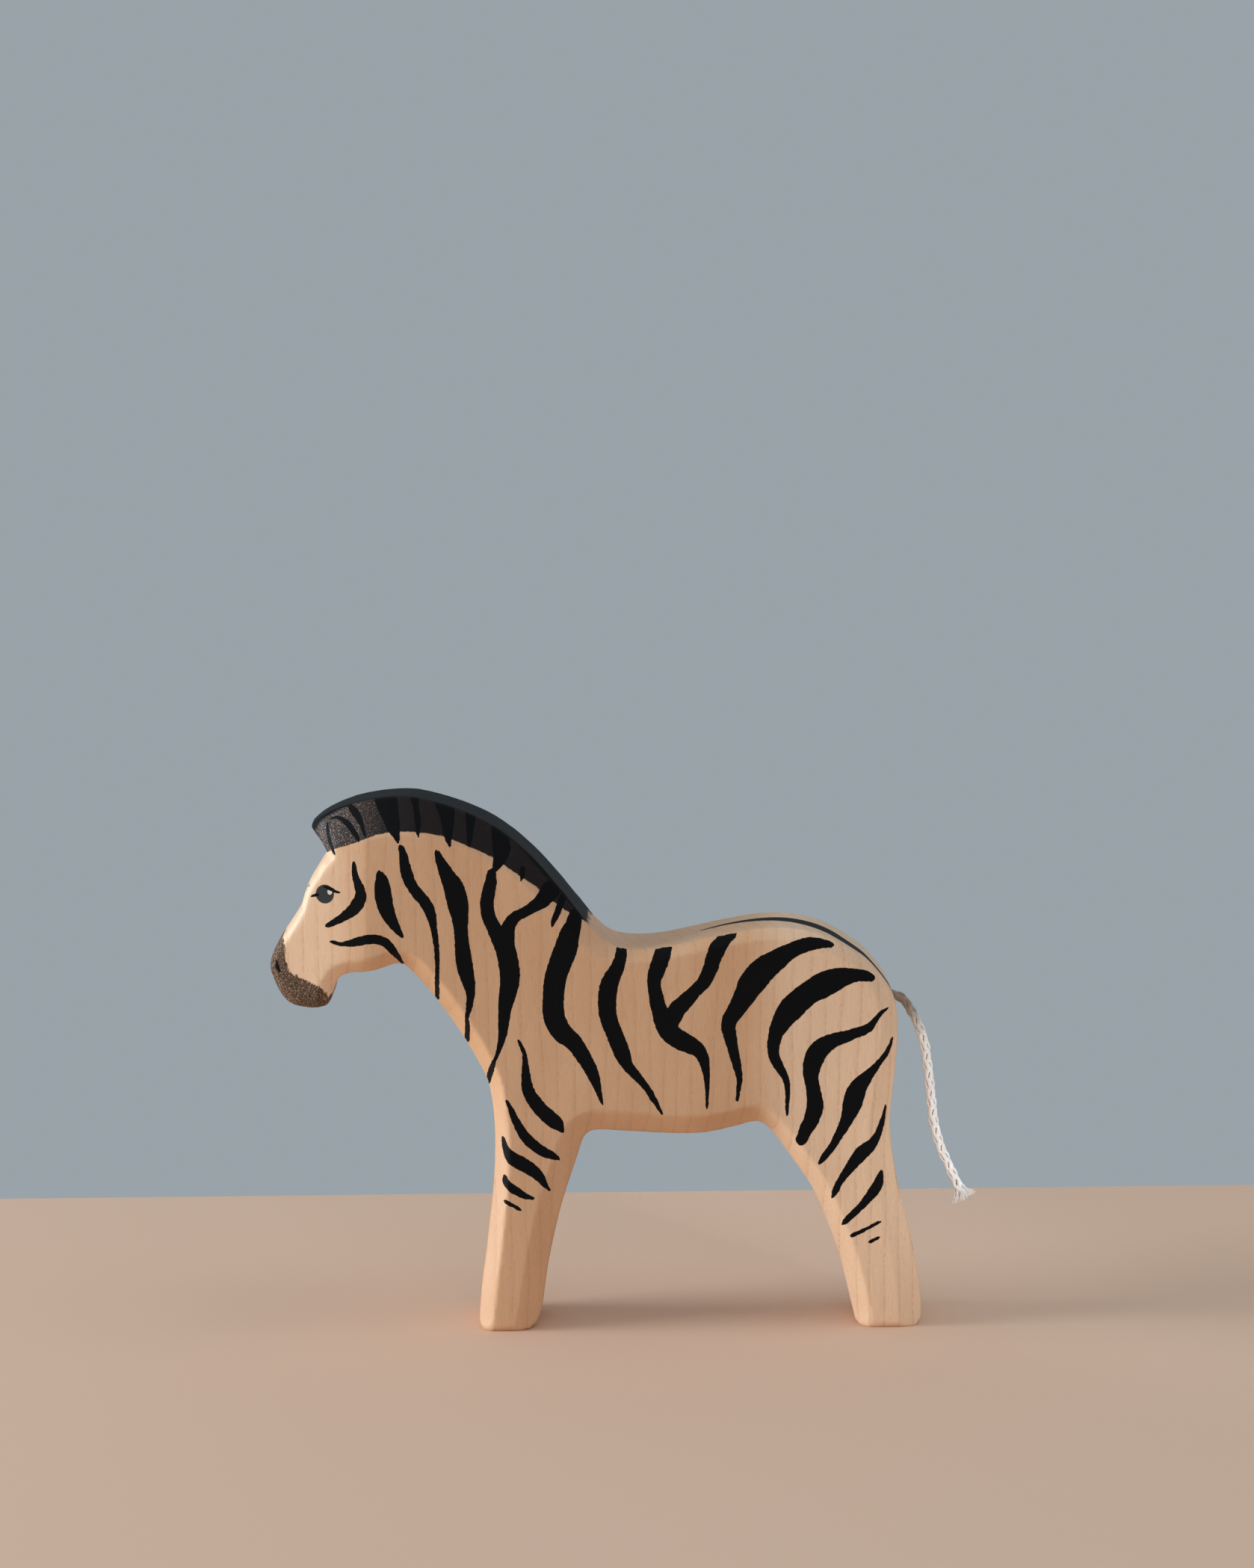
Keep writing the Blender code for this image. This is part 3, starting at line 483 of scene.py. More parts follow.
def paint_measures(mesh):
    """Store where the painter's strokes and areas lie, and return the number of coats."""
    points = point_places(mesh)
    side = freehand(points[:, [0, 2]], points[:, 1])
    bare = np.tile([0.0, UNPAINTED, 0.0], (len(points), 1))
    coats = sort_into_coats([Stroke(line) for line in [*STRIPES.values(), *MANE_STROKES.values()]])
    for number, strokes in enumerate(coats, 1):
        coat = bare.copy()
        for stroke in strokes:
            stroke.lay(coat, side)
        point_values(mesh, f"coat_{number}", coat)

    line = bare.copy()
    on_back = points[:, 2] > BACK_LINE_FLOOR
    above = np.where(on_back[:, None], points[:, :2], FAR)
    Stroke(BACK_LINE).lay(line, above)
    point_values(mesh, "back_line", line)

    mane_area = area_distance(side, MANE_EDGE)
    on_back = (points[:, [0, 2]] > BACK_START).all(axis=1)
    rim = np.where(on_back, BACK_RIM, FRONT_RIM) - np.abs(points[:, 1])
    point_values(mesh, "sawn_edge", np.where(mane_area < MANE_OVERLAP, UNPAINTED, rim))
    point_values(mesh, "mane_area", mane_area)
    point_values(mesh, "muzzle_area", area_distance(side, MUZZLE_EDGE))
    along, widths = zip(*CREST_WIDTHS)
    point_values(mesh, "crest_area", np.abs(points[:, 1]) - np.interp(points[:, 0], along, widths))
    return len(coats)


def stroke_margin(tree, layer, ragged):
    """Distance outside the edge of a coat's strokes, made a little ragged along them."""
    measure = add(tree, "Attribute", attribute_name=layer)
    parts = add(tree, "SeparateXYZ", {0: measure.outputs["Vector"]})
    offset = reckon(tree, "ABSOLUTE", parts.outputs["X"])
    margin = reckon(tree, "SUBTRACT", offset, parts.outputs["Y"])
    return reckon(tree, "ADD", margin, ragged)


# Figure of the maple in millimetres; spans are the lengths of its waves along X, Y and Z
PITH_X = -9.5                   # middle of the plank's heartwood
SAPWOOD_AND_LIGHT = (54.0, 69.0)          # distances from there between which the wood turns pale, partly as painted light on the ends
SAPWOOD_AND_LIGHT_WANDER = 8.0            # how far that border wanders
RING_WANDER = 14.0              # how far the growth rings wander
RING_LEAN = 0.30                # how far they lean for each millimetre of the plank's thickness
WANDER_SPANS = (28.6, 28.6, 100.0)
DASH_SPANS = (1.25, 1.25, 1.11)         # breaks in the lines between the rings
PATCH_SPANS = (20.0, 20.0, 55.6)        # warmer patches
FLECK_SPANS = (0.385, 0.385, 1.82)
FIBRE_SPANS = (0.222, 0.222, 4.55)      # real fibres are too fine to show, so these are coarser

# Where each of these starts and ends, as shares of its noise or of a ring's width
LATE_WOOD = (0.55, 0.97)
DASHES = (0.40, 0.62)
PATCHES = (0.35, 0.68)
FLECKS = (0.66, 0.76)
MIDDLE = (0.3, 0.7)             # the part of a noise that most places fall in
LINE_SHARPNESS = 7.0            # power that narrows the late wood to a line
BAND_SHARE, MARK_SHARE, SAPWOOD_AND_LIGHT_SHARE = 0.10, 0.25, 0.80    # how strongly each colour covers
WOOD_TONES = (0.93, 1.05)


def maple(tree, settings, place):
    """Colour, and height in shares, of sanded maple with upright grain."""
    wander = waves(tree, place, WANDER_SPANS, 2.0)
    parts = add(tree, "SeparateXYZ", {0: place})
    leaning = reckon(tree, "MULTIPLY_ADD", parts.outputs["Y"], RING_LEAN, parts.outputs["X"])
    bent = reckon(tree, "MULTIPLY_ADD", wander, RING_WANDER, leaning)
    ring = reckon(tree, "FRACT", reckon(tree, "DIVIDE", bent, settings.ring_spacing / MM))
    late_wood = ramp(tree, ring, LATE_WOOD, smooth=True)
    edge = ramp(tree, ring, (LATE_WOOD[1], 1.0), (1.0, 0.0), smooth=True)
    thin = reckon(tree, "POWER", reckon(tree, "MULTIPLY", late_wood, edge), LINE_SHARPNESS)
    broken = ramp(tree, waves(tree, place, DASH_SPANS, 1.0), DASHES)
    line = reckon(tree, "MULTIPLY", thin, broken)

    patchy = ramp(tree, waves(tree, place, PATCH_SPANS, 3.0), PATCHES)
    ground = cover(tree, settings.pale_wood, settings.warm_wood, patchy)
    from_pith = reckon(tree, "ABSOLUTE", reckon(tree, "SUBTRACT", parts.outputs["X"], PITH_X))
    # Paler wood towards both ends, partly painted light that brightens the hind leg most
    sapwood_and_light_reach = reckon(tree, "MULTIPLY_ADD", wander, SAPWOOD_AND_LIGHT_WANDER, from_pith)
    sapwood_and_light_share = ramp(tree, sapwood_and_light_reach, SAPWOOD_AND_LIGHT, (0.0, SAPWOOD_AND_LIGHT_SHARE), smooth=True)
    ground = cover(tree, ground, settings.sapwood_and_light, sapwood_and_light_share)
    band = reckon(tree, "MULTIPLY", late_wood, BAND_SHARE)
    banded = cover(tree, ground, settings.ring_wood, band)

    flecks = ramp(tree, waves(tree, place, FLECK_SPANS, 1.0), FLECKS)
    marks = reckon(tree, "MAXIMUM", flecks, line)
    faint = reckon(tree, "MULTIPLY", marks, MARK_SHARE)
    marked = cover(tree, banded, settings.ring_wood, faint)

    fibres = waves(tree, place, FIBRE_SPANS, 3.0)
    tone = ramp(tree, fibres, MIDDLE, WOOD_TONES)
    wood = add(tree, "VectorMath", {0: marked, "Scale": tone}, operation="SCALE")
    return wood, reckon(tree, "SUBTRACT", fibres, marks)


# Edges of the paint in millimetres
RAGGED_SPANS = (1.11, 1.11, 1.11)
RAGGED_REACH = 0.11             # how far a stroke's edge strays
STROKE_BLUR = 0.05              # half the width over which an edge fades
MANE_BLUR = 0.12
CREST_BLUR = (-0.3, 0.1)
BRISTLE_SPANS = (0.417, 0.417, 2.0)
BRISTLE_REACH = 2.0             # how far the bristles carry the muzzle's brown
MUZZLE_BLUR = (0.80, 1.10)

# Pores that thin and dry paint leaves open; real ones are too fine to show, so these are coarser
PORE_SPANS = (0.294, 0.294, 0.294)
MUZZLE_PORES, MUZZLE_COVER = (0.50, 0.66), (0.96, 0.55)
MANE_PORES = (0.57, 0.66)
FORELOCK_X = (-67.0, -53.0)     # the thin forelock wash turns into the thick one between these
THICK_WASH, THIN_WASH = (0.97, 0.985), (0.35, 0.955)    # cover at the forelock and behind it
WASH_DULLNESS = (0.5, 1.0)

WOOD_ROUGHNESS, PAINT_ROUGHNESS = 0.48, 0.68
GLOSS = (1.0, 1.0, 1.0)         # tint of the highlights on wood and on paint
PAINT_GLOSS = (0.13, 0.13, 0.14)
PAINT_RISE = 2.0                # height of the paint over the wood's grain
BUMP_DEPTH = 0.05 * MM
WOOD_IOR, WOOD_SPECULAR, WOOD_BUMP = 1.5, 0.6, 0.25


def stroke_share(tree, coats, ragged):
    """One on the black strokes and zero beside them."""
    margins = [stroke_margin(tree, f"coat_{number}", ragged) for number in range(1, coats + 1)]
    margin = margins[0]
    for other in margins[1:]:
        margin = reckon(tree, "MINIMUM", margin, other)
    past_rim = reckon(tree, "ADD", attribute(tree, "sawn_edge"), ragged)
    margin = reckon(tree, "MAXIMUM", margin, past_rim)
    margin = reckon(tree, "MINIMUM", margin, stroke_margin(tree, "back_line", ragged))
    return ramp(tree, margin, (-STROKE_BLUR, STROKE_BLUR), (1.0, 0.0))


def muzzle_share(tree, place, pores):
    """Cover of the dry-brushed brown, streaked by the bristles at its edge."""
    bristles = waves(tree, place, BRISTLE_SPANS, 2.0)
    edge = reckon(tree, "MULTIPLY_ADD", bristles, BRISTLE_REACH, attribute(tree, "muzzle_area"))
    covered = ramp(tree, edge, MUZZLE_BLUR, (1.0, 0.0))
    return reckon(tree, "MULTIPLY", covered, ramp(tree, pores, MUZZLE_PORES, MUZZLE_COVER))


def eye(tree, place, under, paint):
    """The charcoal eye with its cream dot, laid over what is under it."""
    for (x, z), (wide, tall), colour in (
            (EYE_CENTRE, EYE_RADII, paint.eye),
            (EYE_LIGHT_CENTRE, EYE_LIGHT_RADII, paint.eye_light)):
        across = add(tree, "Mapping", {"Vector": place, "Location": (x, 0.0, z),
                                       "Scale": (wide, FAR, tall)}, vector_type="TEXTURE")
        reach = add(tree, "VectorMath", {0: across}, operation="LENGTH").outputs["Value"]
        blur = STROKE_BLUR / wide
        under = cover(tree, under, colour, ramp(tree, reach, (1.0 - blur, 1.0 + blur), (1.0, 0.0)))
    return under


def painted_maple(coats, wood_settings, paint):
    """Sanded maple with brushed acrylic.

    The wood gives the eye a warm satin skin with upright lines and broad pale highlights on its
    facets. The paint lies flat and nearly without gloss, and its thin washes let the pores through.
    """
    made, tree, shader = shaded_material("painted maple")
    place = millimetre_place(tree)
    wood, height = maple(tree, wood_settings, place)
    ragged = ramp(tree, waves(tree, place, RAGGED_SPANS, 3.0), MIDDLE, (-RAGGED_REACH, RAGGED_REACH))
    pores = waves(tree, place, PORE_SPANS, 3.0)
    muzzle_mask = muzzle_share(tree, place, pores)
    coloured = cover(tree, wood, paint.muzzle, muzzle_mask)

    # The wash of the mane is thin at the forelock and thick behind it; its bluish tone at the forelock is
    # partly painted sheen
    parts = add(tree, "SeparateXYZ", {0: place})
    back_share = ramp(tree, parts.outputs["X"], FORELOCK_X, smooth=True)
    mane_ragged = reckon(tree, "ADD", ragged, attribute(tree, "mane_area"))
    mane_cover = ramp(tree, mane_ragged, (-MANE_BLUR, MANE_BLUR), (1.0, 0.0))
    thick, thin = (ramp(tree, back_share, (0.0, 1.0), ends) for ends in (THICK_WASH, THIN_WASH))
    mane_mask = reckon(tree, "MULTIPLY", mane_cover, ramp(tree, pores, MANE_PORES, (thick, thin)))
    wash = cover(tree, paint.forelock, paint.wash, back_share)
    coloured = cover(tree, coloured, wash, mane_mask)
    coloured = eye(tree, place, coloured, paint)

    on_crest = ramp(tree, attribute(tree, "crest_area"), CREST_BLUR, (1.0, 0.0))
    crest = reckon(tree, "MULTIPLY", on_crest, mane_cover)
    black = reckon(tree, "MAXIMUM", stroke_share(tree, coats, ragged), crest)
    coloured = cover(tree, coloured, paint.stripe, black)

    thin_paint = reckon(tree, "MAXIMUM", muzzle_mask, mane_mask)
    painted = reckon(tree, "MAXIMUM", black, thin_paint)
    roughness = ramp(tree, painted, (0.0, 1.0), (WOOD_ROUGHNESS, PAINT_ROUGHNESS))
    paint_height = reckon(tree, "MULTIPLY_ADD", black, PAINT_RISE, height)
    bump = add(tree, "Bump", {"Height": paint_height, "Strength": WOOD_BUMP, "Distance": BUMP_DEPTH})
    dull_wash = reckon(tree, "MULTIPLY", mane_mask, ramp(tree, back_share, (0.0, 1.0), WASH_DULLNESS))
    dull_paint = reckon(tree, "MAXIMUM", muzzle_mask, dull_wash)
    matting = cover(tree, GLOSS, PAINT_GLOSS, reckon(tree, "MAXIMUM", black, dull_paint))
    join(tree, shader, {"Base Color": coloured, "Specular Tint": matting, "Roughness": roughness,
                        "Normal": bump})
    shader.inputs["IOR"].default_value = WOOD_IOR
    shader.inputs["Specular IOR Level"].default_value = WOOD_SPECULAR
    return made


FOOT_FLAT = 0.5         # points this close above the table, in millimetres, belong to the flat soles
SOLE_FACING = -0.5      # where their skin faces down at least this much
WELD_REACH = 1e-6       # points of the solid this close together, in metres, are one
SANDING_SHARE = 0.5     # how far one pass moves a point to the middle of its neighbours
UNEVEN_SPAN = 11.0      # distance between high places left by sanding, in millimetres


def even_skin(context, node, settings):
    """A copy of a node's surface with evenly spaced points and arrises rounded by sanding."""
    solid = bmesh.new()
    solid.from_mesh(node.data)
    bmesh.ops.remove_doubles(solid, verts=solid.verts[:], dist=WELD_REACH)
    rough = bpy.data.meshes.new("rough block")
    solid.to_mesh(rough)
    solid.free()
    block = bpy.data.objects.new("rough block", rough)
    context.collection.objects.link(block)
    remesh = block.modifiers.new("even skin", "REMESH")
    remesh.mode = "VOXEL"
    remesh.voxel_size = settings.fineness
    skin = bpy.data.meshes.new_from_object(block.evaluated_get(context.evaluated_depsgraph_get()))
    bpy.data.objects.remove(block)
    bpy.data.meshes.remove(rough)

    surface = bmesh.new()
    surface.from_mesh(skin)
    for sanding_pass in range(settings.sanding):
        bmesh.ops.smooth_vert(surface, verts=surface.verts[:], factor=SANDING_SHARE, use_axis_x=True,
                              use_axis_y=True, use_axis_z=True)
    surface.normal_update()
    for point in surface.verts:
        if point.co.z < FOOT_FLAT * MM and point.normal.z < SOLE_FACING:
            point.co.z = 0.0
        else:
            height = noise.noise(point.co / (UNEVEN_SPAN * MM))
            point.co += point.normal * height * settings.wander
    surface.to_mesh(skin)
    surface.free()
    skin.shade_smooth()
    return skin


def tail_route(step):
    """Points of the tail's middle line, step metres apart, from the bottom of its hole."""
    line = smooth_line(TAIL_COURSE, step / 4)
    spans = np.linalg.norm(np.diff(line, axis=0), axis=1)
    along = np.concatenate([[0.0], np.cumsum(spans)])
    stops = np.linspace(0.0, along[-1], round(along[-1] / step) + 1)
    xs, zs = (np.interp(stops, along, line[:, axis]) for axis in (0, 1))
    return stops.tolist(), [Vector((x, 0.0, z)) for x, z in zip(xs, zs)]


SIDEWAYS = Vector((0.0, 1.0, 0.0))
STRANDS = 8             # half of them wind one way round the cord and half the other
STRAND_SIDES = 10
# Shares of the cord's diameter: half the width and half the thickness of a flat strand, how far it
# moves in and out over the others, and the radius of the straight heart
STRAND_HALF_WIDTH = 0.23
STRAND_HALF_THICKNESS = 0.14
STRAND_WEAVE = 0.08
HEART_RADIUS = 0.33
ROUTE_STEP = 0.3 * MM
SEAM_REACH = 1e-7       # points of a yarn's seam this close together, in metres, are one

FRAY_FROM = 4.0         # the braid opens over this last length, in millimetres
FRAY_OPENING = 0.45     # share by which it is wider at its end
FRAY_YARNS = 130
FRAY_CLUMPS = ((-0.34, 0.1, 4.8), (0.36, -0.1, 4.3))   # lean across, sideways, length in millimetres
FRAY_ROOT = 1.4         # how far inside the braid the loose yarns start, in millimetres
FRAY_ROOT_REACH = 0.42  # how far from the cord's middle they start, as a share of its diameter
FRAY_RADIUS = 0.19      # of one yarn, in millimetres
FRAY_TAPER = 0.3        # share by which it thins towards its tip
FRAY_SPREAD = 0.32      # most that a yarn leans and curls out of its clump, for each unit of length
FRAY_CURL = 0.25
FRAY_BENDS = (1.6, 3)   # powers by which the lean and the curl set in along a yarn
FRAY_SHORTEST = 0.65    # shortest yarn, as a share of its clump's
FRAY_DUST_AND_SHADE = 0.62        # depth in the weave, which gives the dust and painted shade, of the darkest yarn at its root
FRAY_ALONG = 60.0       # place along the cord in millimetres, clear of the glue stain
FRAY_ROWS = 9
FRAY_SIDES = 5


def cord_frame(route, index):
    """Direction of the cord at a point of its route, and the direction across it in its own plane."""
    last = len(route) - 1
    along = (route[min(index + 1, last)] - route[max(index - 1, 0)]).normalized()
    return along, along.cross(SIDEWAYS)


def around(angle, across):
    """Direction out of the cord at an angle round it."""
    return math.cos(angle) * across + math.sin(angle) * SIDEWAYS


def add_yarn(cord, rings, values):
    """Add one tube through rings of points, each point with its value; the ends are left open."""
    sides = len(rings[0])
    before = set(cord.verts)
    bmesh.ops.create_grid(cord, x_segments=len(rings) - 1, y_segments=sides, size=0.5)
    layer = cord.verts.layers.float_vector["yarn"]
    added = [point for point in cord.verts if point not in before]
    for point in added:
        row = round((point.co.x + 0.5) * (len(rings) - 1))
        side = round((point.co.y + 0.5) * sides) % sides
        point[layer] = values[row][side]
        point.co = rings[row][side]
    bmesh.ops.remove_doubles(cord, verts=added, dist=SEAM_REACH)


def new_cord():
    """An empty bmesh whose points carry the yarn's values."""
    cord = bmesh.new()
    cord.verts.layers.float_vector.new("yarn")
    return cord


def cord_mesh(name, cord):
    """The finished mesh of a cord."""
    bmesh.ops.recalc_face_normals(cord, faces=cord.faces[:])
    mesh = bpy.data.meshes.new(name)
    cord.to_mesh(mesh)
    cord.free()
    mesh.shade_smooth()
    return mesh


def strand_rings(number, settings, stops, route):
    """Rings of points and values along one strand of the braid; number 0 is the straight heart."""
    hand = 0 if number == 0 else (1 if number % 2 else -1)
    start = math.tau * ((number - 1) // 2) / (STRANDS / 2)
    middle = 0.5 - STRAND_WEAVE - STRAND_HALF_THICKNESS if hand else 0.0
    wide = (STRAND_HALF_WIDTH if hand else HEART_RADIUS) * settings.diameter
    thick = (STRAND_HALF_THICKNESS if hand else HEART_RADIUS) * settings.diameter
    lean = math.atan(hand * math.tau * middle * settings.diameter / settings.pitch)
    rings, values = [], []
    for index, stop in enumerate(stops):
        along, across = cord_frame(route, index)
        angle = start + hand * math.tau * stop / settings.pitch
        over = hand * math.cos(STRANDS / 2 * math.tau * stop / settings.pitch)
        left = (stops[-1] - stop) / MM
        opening = 1.0 + FRAY_OPENING * max(0.0, 1.0 - left / FRAY_FROM) ** 2
        reach = (middle + STRAND_WEAVE * over) * settings.diameter * opening
        radial = around(angle, across)
        round_it = math.cos(angle) * SIDEWAYS - math.sin(angle) * across
        flat = math.cos(lean) * round_it - math.sin(lean) * along
        ring, ring_values = [], []
        for side in range(STRAND_SIDES):
            turn = math.tau * side / STRAND_SIDES
            ring.append(route[index] + (reach - thick * math.cos(turn)) * radial
                        + wide * math.sin(turn) * flat)
            # How deep this side of the strand lies under the others; it sets how much dust and painted
            # shade it takes
            depth = 0.5 - 0.5 * (over - math.cos(turn)) / 2
            ring_values.append(Vector(((stop - stops[0]) / MM, wide * math.sin(turn) / MM, depth)))
        rings.append(ring)
        values.append(ring_values)
    return rings, values


COTTON_SPANS = (0.91, 0.91, 0.91)       # patches of tone in the yarn
COTTON_TONES = (0.94, 1.05)
FUZZ_SPANS = (0.167, 0.167, 0.167)      # single fibres are too fine to show, so these are coarser
FUZZ_HEIGHT = 2.0                       # height of the fuzz over the ridges between the yarns
DUST_AND_SHADE_DEPTH = (0.36, 0.52)              # depths in the weave between which the dust and the painted shade set in
STAIN_WANDER = 4.0                      # how far the glue stain's edge wanders, in millimetres
STAIN_FADE = (-4.0, 6.0)                # the stain fades between these places from its length's end
STAIN_COVER = 0.9
COTTON_ROUGHNESS, COTTON_SHEEN, SHEEN_ROUGHNESS, COTTON_BUMP = 0.9, 0.8, 0.5, 0.35


def cotton(settings):
    """Braided cotton.

    It gives the eye a dull, fuzzy cord with a soft light along its edges, brown between its strands
    that is partly dust and partly painted shade, and brown where glue soaked into it.
    """
    made, tree, shader = shaded_material("braided cotton")
    yarn = add(tree, "Attribute", attribute_name="yarn")
    parts = add(tree, "SeparateXYZ", {0: yarn.outputs["Vector"]})
    place = millimetre_place(tree)
    mottle = waves(tree, place, COTTON_SPANS, 3.0)
    # Dust and painted shade: the cotton turns brown where it lies deep in the weave
    shaded = cover(tree, settings.cotton, settings.dust_and_shade, ramp(tree, parts.outputs["Z"], DUST_AND_SHADE_DEPTH))
    glue = reckon(tree, "MULTIPLY_ADD", mottle, STAIN_WANDER, parts.outputs["X"])
    stain_ends = [(settings.stain + settings.glued) / MM + end for end in STAIN_FADE]
    soaked = cover(tree, shaded, settings.glue_stain, ramp(tree, glue, stain_ends, (STAIN_COVER, 0.0)))
    tone = ramp(tree, mottle, MIDDLE, COTTON_TONES)
    toned = add(tree, "VectorMath", {0: soaked, "Scale": tone}, operation="SCALE")
    ply = reckon(tree, "MULTIPLY", parts.outputs["Y"], math.tau / settings.ply * MM)
    fuzz = waves(tree, place, FUZZ_SPANS, 2.0)
    height = reckon(tree, "MULTIPLY_ADD", fuzz, FUZZ_HEIGHT, reckon(tree, "COSINE", ply))
    bump = add(tree, "Bump", {"Height": height, "Strength": COTTON_BUMP, "Distance": BUMP_DEPTH})
    join(tree, shader, {"Base Color": toned, "Normal": bump})
    shader.inputs["Roughness"].default_value = COTTON_ROUGHNESS
    shader.inputs["Sheen Weight"].default_value = COTTON_SHEEN
    shader.inputs["Sheen Roughness"].default_value = SHEEN_ROUGHNESS
    return made


def piece_from(context, name, mesh, finish):
    """A piece of the figurine, in place in its mesh, riding on the one body."""
    mesh.materials.clear()
    mesh.materials.append(finish)
    piece = bpy.data.objects.new(name, mesh)
    context.collection.objects.link(piece)
    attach(piece, "root")
    return piece


class ZEBRA_OT_carve_block(bpy.types.Operator):
    """Sand and paint the carved block"""

    bl_idname = "zebra.carve_block"
    bl_label = "Carve and paint the block"

    def execute(self, context):
        settings, paint = context.scene.zebra_block, context.scene.zebra_paint
        skin = even_skin(context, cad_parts["zebra_body"], settings)
        coats = paint_measures(skin)
        skin.name = "painted_block"
        block = piece_from(context, "painted_block", skin, painted_maple(coats, settings, paint))
        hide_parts("zebra_body")
        return {"FINISHED"}


class ZEBRA_OT_braid_tail(bpy.types.Operator):
    """Braid the cord of the tail and fray its end"""

    bl_idname = "zebra.braid_tail"
    bl_label = "Braid the tail"

    def execute(self, context):
        settings = context.scene.zebra_tail
        stops, route = tail_route(ROUTE_STEP)
        finish = cotton(settings)
        braid = new_cord()
        for number in range(STRANDS + 1):
            add_yarn(braid, *strand_rings(number, settings, stops, route))
        mesh = cord_mesh("braided_tail", braid)
        tail = piece_from(context, "braided_tail", mesh, finish)
        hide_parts("tail_cord")

        tuft = self.fray(context, settings, route, finish)
        return {"FINISHED"}

    def fray(self, context, settings, route, finish):
        """Loose yarns that spread from the cut end."""
        draw = random.Random(7)
        along, across = cord_frame(route, len(route) - 1)
        turns = [math.tau * side / FRAY_SIDES for side in range(FRAY_SIDES)]
        tufts = new_cord()
        for number in range(FRAY_YARNS):
            across_lean, side_lean, clump_length = FRAY_CLUMPS[number % len(FRAY_CLUMPS)]
            radial = around(draw.uniform(0.0, math.tau), across)
            reach = FRAY_ROOT_REACH * settings.diameter * math.sqrt(draw.random())
            lean = across_lean * across + side_lean * SIDEWAYS + draw.uniform(0.0, FRAY_SPREAD) * radial
            curl = (draw.uniform(-FRAY_CURL, FRAY_CURL) * across
                    + draw.uniform(-FRAY_CURL, FRAY_CURL) * SIDEWAYS)
            length = clump_length * draw.uniform(FRAY_SHORTEST, 1.0) * MM
            # How much dust and painted shade this loose yarn takes, more at its root
            dust_and_shade = draw.uniform(0.0, FRAY_DUST_AND_SHADE)
            start = route[-1] - along * FRAY_ROOT * MM + radial * reach
            rings, values = [], []
            for step in np.linspace(0.0, 1.0, FRAY_ROWS).tolist():
                leaning, curling = (step ** power for power in FRAY_BENDS)
                middle = start + (along * step + lean * leaning + curl * curling) * length
                radius = FRAY_RADIUS * (1.0 - FRAY_TAPER * step ** 2) * MM
                rings.append([middle + radius * around(turn, across) for turn in turns])
                values.append([Vector((FRAY_ALONG, 0.0, dust_and_shade * (1.0 - 0.5 * step)))] * FRAY_SIDES)
            add_yarn(tufts, rings, values)
        return piece_from(context, "frayed_end", cord_mesh("frayed_end", tufts), finish)


# The photograph's view: place of the lens in metres, how far it looks down and its roll in degrees,
# and its focal length for a frame whose long side is this, in millimetres
VIEW_PLACE = (0.0092, -1.2, 0.3266)
VIEW_DOWN = 8.39
VIEW_ROLL = -0.64
FOCAL_LENGTH = 102.10
FRAME_SIDE = 36.0
VIEW_END = 20.0             # the lens sees this far, in metres

TABLE_SIZE = (1.7, 2.6, 0.03)       # length, depth and thickness of the table top in metres
TABLE_BEHIND = 0.147                # its rear edge is this far behind the figurine's middle
TABLE_ROUGHNESS, TABLE_SPECULAR = 0.85, 0.15

BLOCK_AIM = (0.0, 0.0, 0.07)
TAIL_AIM = (0.131, 0.0, 0.048)      # beside the tail, which the light then grazes
# Lights: name, place and aim and diameter in metres, spread in degrees, the power that it takes from
# the settings and its share of that
LIGHTS = (
    ("window", (-1.90, -0.22, 0.56), BLOCK_AIM, 1.1, 180.0, "key_power", 1.0),
    ("low light", (-1.90, -0.20, 0.15), BLOCK_AIM, 0.5, 180.0, "key_power", 0.27),
    ("front light", (0.2, -2.65, 0.55), BLOCK_AIM, 2.4, 180.0, "fill_power", 1.0),
    ("ceiling light", (0.45, -0.15, 1.3), BLOCK_AIM, 0.8, 180.0, "key_power", 0.08),
    ("tail light", (0.36, -0.38, 0.10), TAIL_AIM, 0.08, 13.0, "fill_power", 0.001),
)


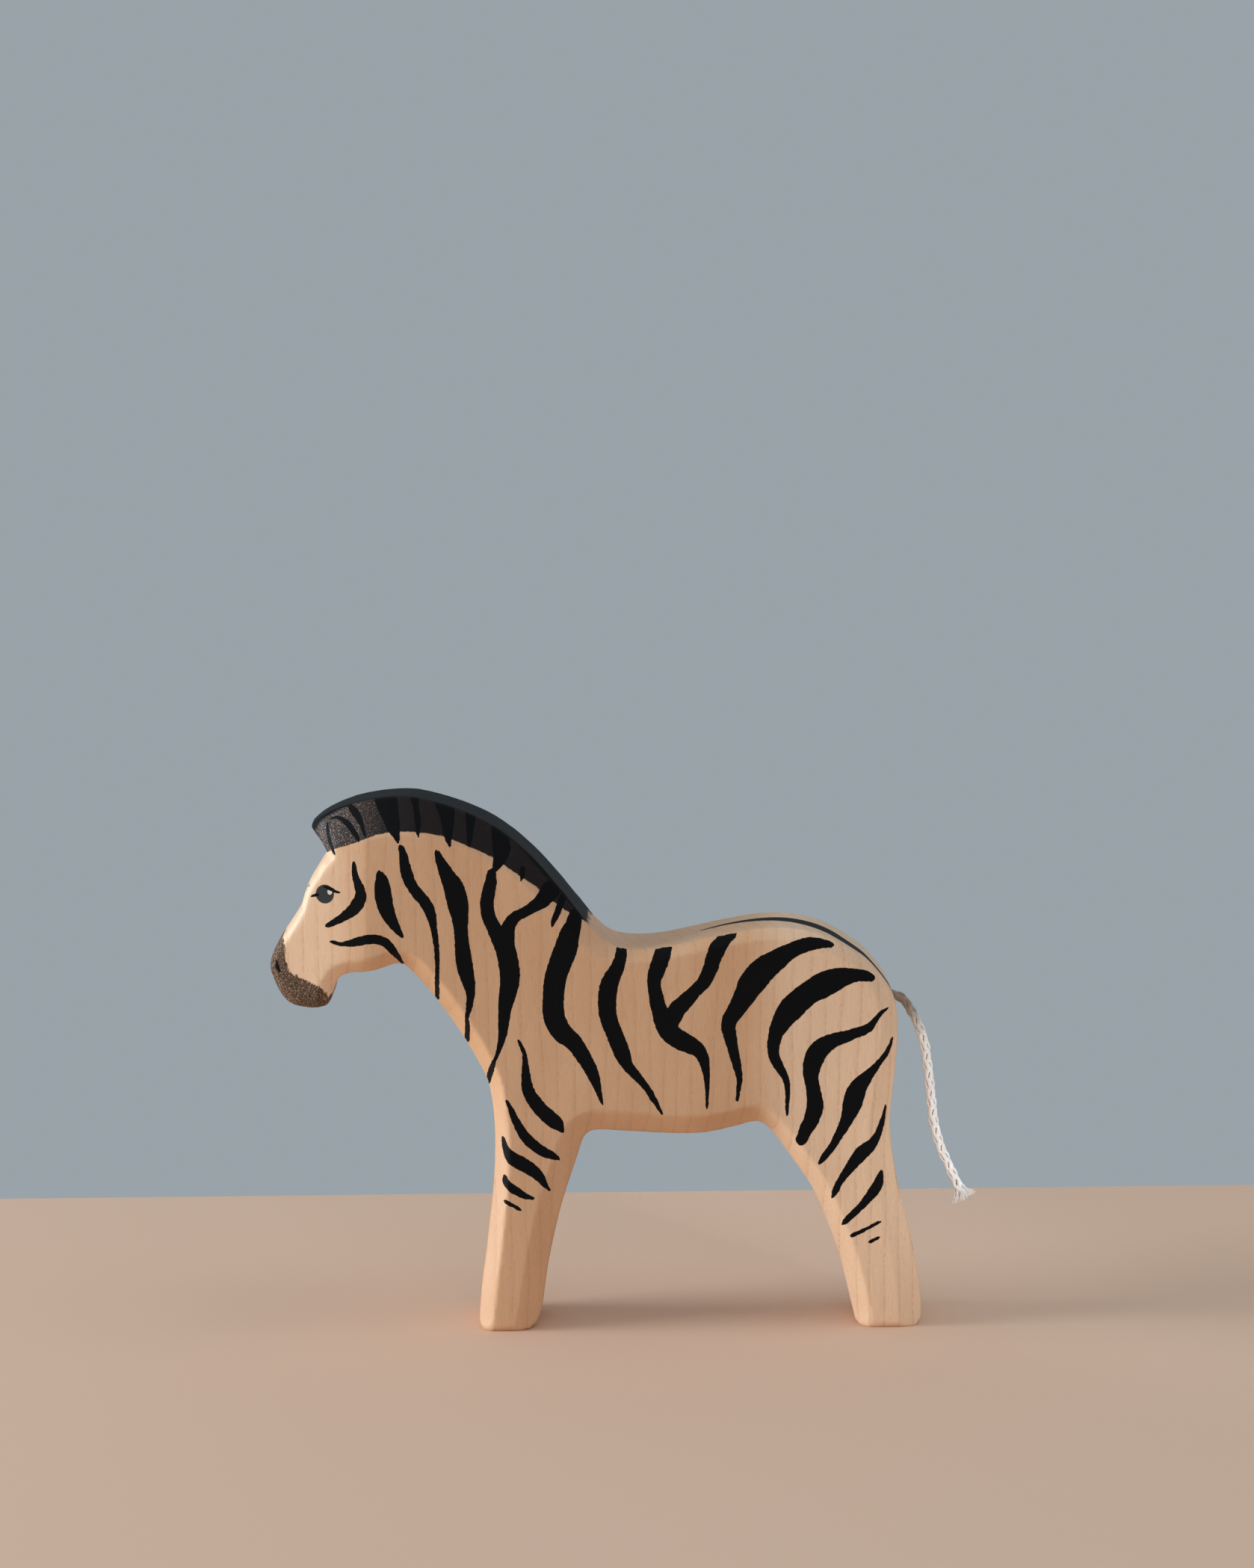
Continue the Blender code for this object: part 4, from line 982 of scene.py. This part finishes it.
class ZEBRA_OT_set_stage(bpy.types.Operator):
    """Set the camera, the table and the lights"""

    bl_idname = "zebra.set_stage"
    bl_label = "Set the studio"

    def execute(self, context):
        settings = context.scene.zebra_stage
        context.scene.view_settings.view_transform = "Standard"
        self.camera(context)
        self.table(context, settings)
        self.lights(context, settings)
        return {"FINISHED"}

    def camera(self, context):
        """The photograph's view: square to the left side and a little from above."""
        lens = bpy.data.cameras.new("view")
        lens.sensor_width = FRAME_SIDE
        lens.lens = FOCAL_LENGTH
        lens.clip_end = VIEW_END
        view = bpy.data.objects.new("view", lens)
        context.collection.objects.link(view)
        tilt = Matrix.Rotation(math.radians(90.0 - VIEW_DOWN), 4, "X")
        roll = Matrix.Rotation(math.radians(VIEW_ROLL), 4, "Z")
        view.matrix_world = Matrix.Translation(VIEW_PLACE) @ tilt @ roll
        context.scene.camera = view

    def table(self, context, settings):
        """A matt table top that ends 13 cm behind the figurine.

        It gives the eye a plain warm ground that takes the soft shadow.
        """
        made, tree, shader = shaded_material("plain table")
        shader.inputs["Base Color"].default_value = (*settings.floor, 1.0)
        shader.inputs["Roughness"].default_value = TABLE_ROUGHNESS
        shader.inputs["Specular IOR Level"].default_value = TABLE_SPECULAR
        length, depth, thickness = TABLE_SIZE
        slab = bmesh.new()
        bmesh.ops.create_cube(slab, size=1.0)
        bmesh.ops.scale(slab, verts=slab.verts[:], vec=TABLE_SIZE)
        middle = (0.0, TABLE_BEHIND - depth / 2, -thickness / 2)
        bmesh.ops.translate(slab, verts=slab.verts[:], vec=middle)
        mesh = bpy.data.meshes.new("table")
        slab.to_mesh(mesh)
        slab.free()
        mesh.materials.append(made)
        top = bpy.data.objects.new("table", mesh)
        context.collection.objects.link(top)

    def lights(self, context, settings):
        """Daylight from a window on the left, four weaker lights and the even light of the room."""
        for name, place, aim, size, spread, power, share in LIGHTS:
            lamp = bpy.data.lights.new(name, "AREA")
            lamp.shape = "DISK"
            lamp.size = size
            lamp.spread = math.radians(spread)
            lamp.energy = getattr(settings, power) * share
            lamp.color = settings.daylight
            holder = bpy.data.objects.new(name, lamp)
            holder.visible_camera = False
            context.collection.objects.link(holder)
            turn = (Vector(aim) - Vector(place)).to_track_quat("-Z", "Y").to_matrix()
            holder.matrix_world = Matrix.Translation(place) @ turn.to_4x4()
        world = bpy.data.worlds.new("room")
        world.use_nodes = True
        world.node_tree.nodes["Background"].inputs["Color"].default_value = (*settings.room, 1.0)
        context.scene.world = world


class ZEBRA_PT_panel(bpy.types.Panel):
    """Steps and settings of the figurine"""

    bl_idname = "ZEBRA_PT_panel"
    bl_label = "Zebra figurine"
    bl_space_type = "VIEW_3D"
    bl_region_type = "UI"
    bl_category = "Zebra"

    def draw(self, context):
        for step, groups in STEPS:
            self.layout.operator(step.bl_idname)
            for group in groups:
                settings = getattr(context.scene, group)
                for name in type(settings).__annotations__:
                    self.layout.prop(settings, name)


STEPS = (
    (ZEBRA_OT_set_stage, ("zebra_stage",)),
    (ZEBRA_OT_braid_tail, ("zebra_tail",)),
    (ZEBRA_OT_carve_block, ("zebra_block", "zebra_paint")),
)
GROUPS = {
    "zebra_stage": ZebraStageSettings,
    "zebra_tail": ZebraTailSettings,
    "zebra_block": ZebraBlockSettings,
    "zebra_paint": ZebraPaintSettings,
}


def register():
    for name, group in GROUPS.items():
        bpy.utils.register_class(group)
        setattr(bpy.types.Scene, name, PointerProperty(type=group))
    for step, groups in STEPS:
        bpy.utils.register_class(step)
    bpy.utils.register_class(ZEBRA_PT_panel)


def unregister():
    bpy.utils.unregister_class(ZEBRA_PT_panel)
    for step, groups in reversed(STEPS):
        bpy.utils.unregister_class(step)
    for name, group in GROUPS.items():
        delattr(bpy.types.Scene, name)
        bpy.utils.unregister_class(group)


def main():
    register()
    bpy.ops.zebra.set_stage()
    bpy.ops.zebra.braid_tail()
    bpy.ops.zebra.carve_block()


if __name__ == "__main__":
    main()
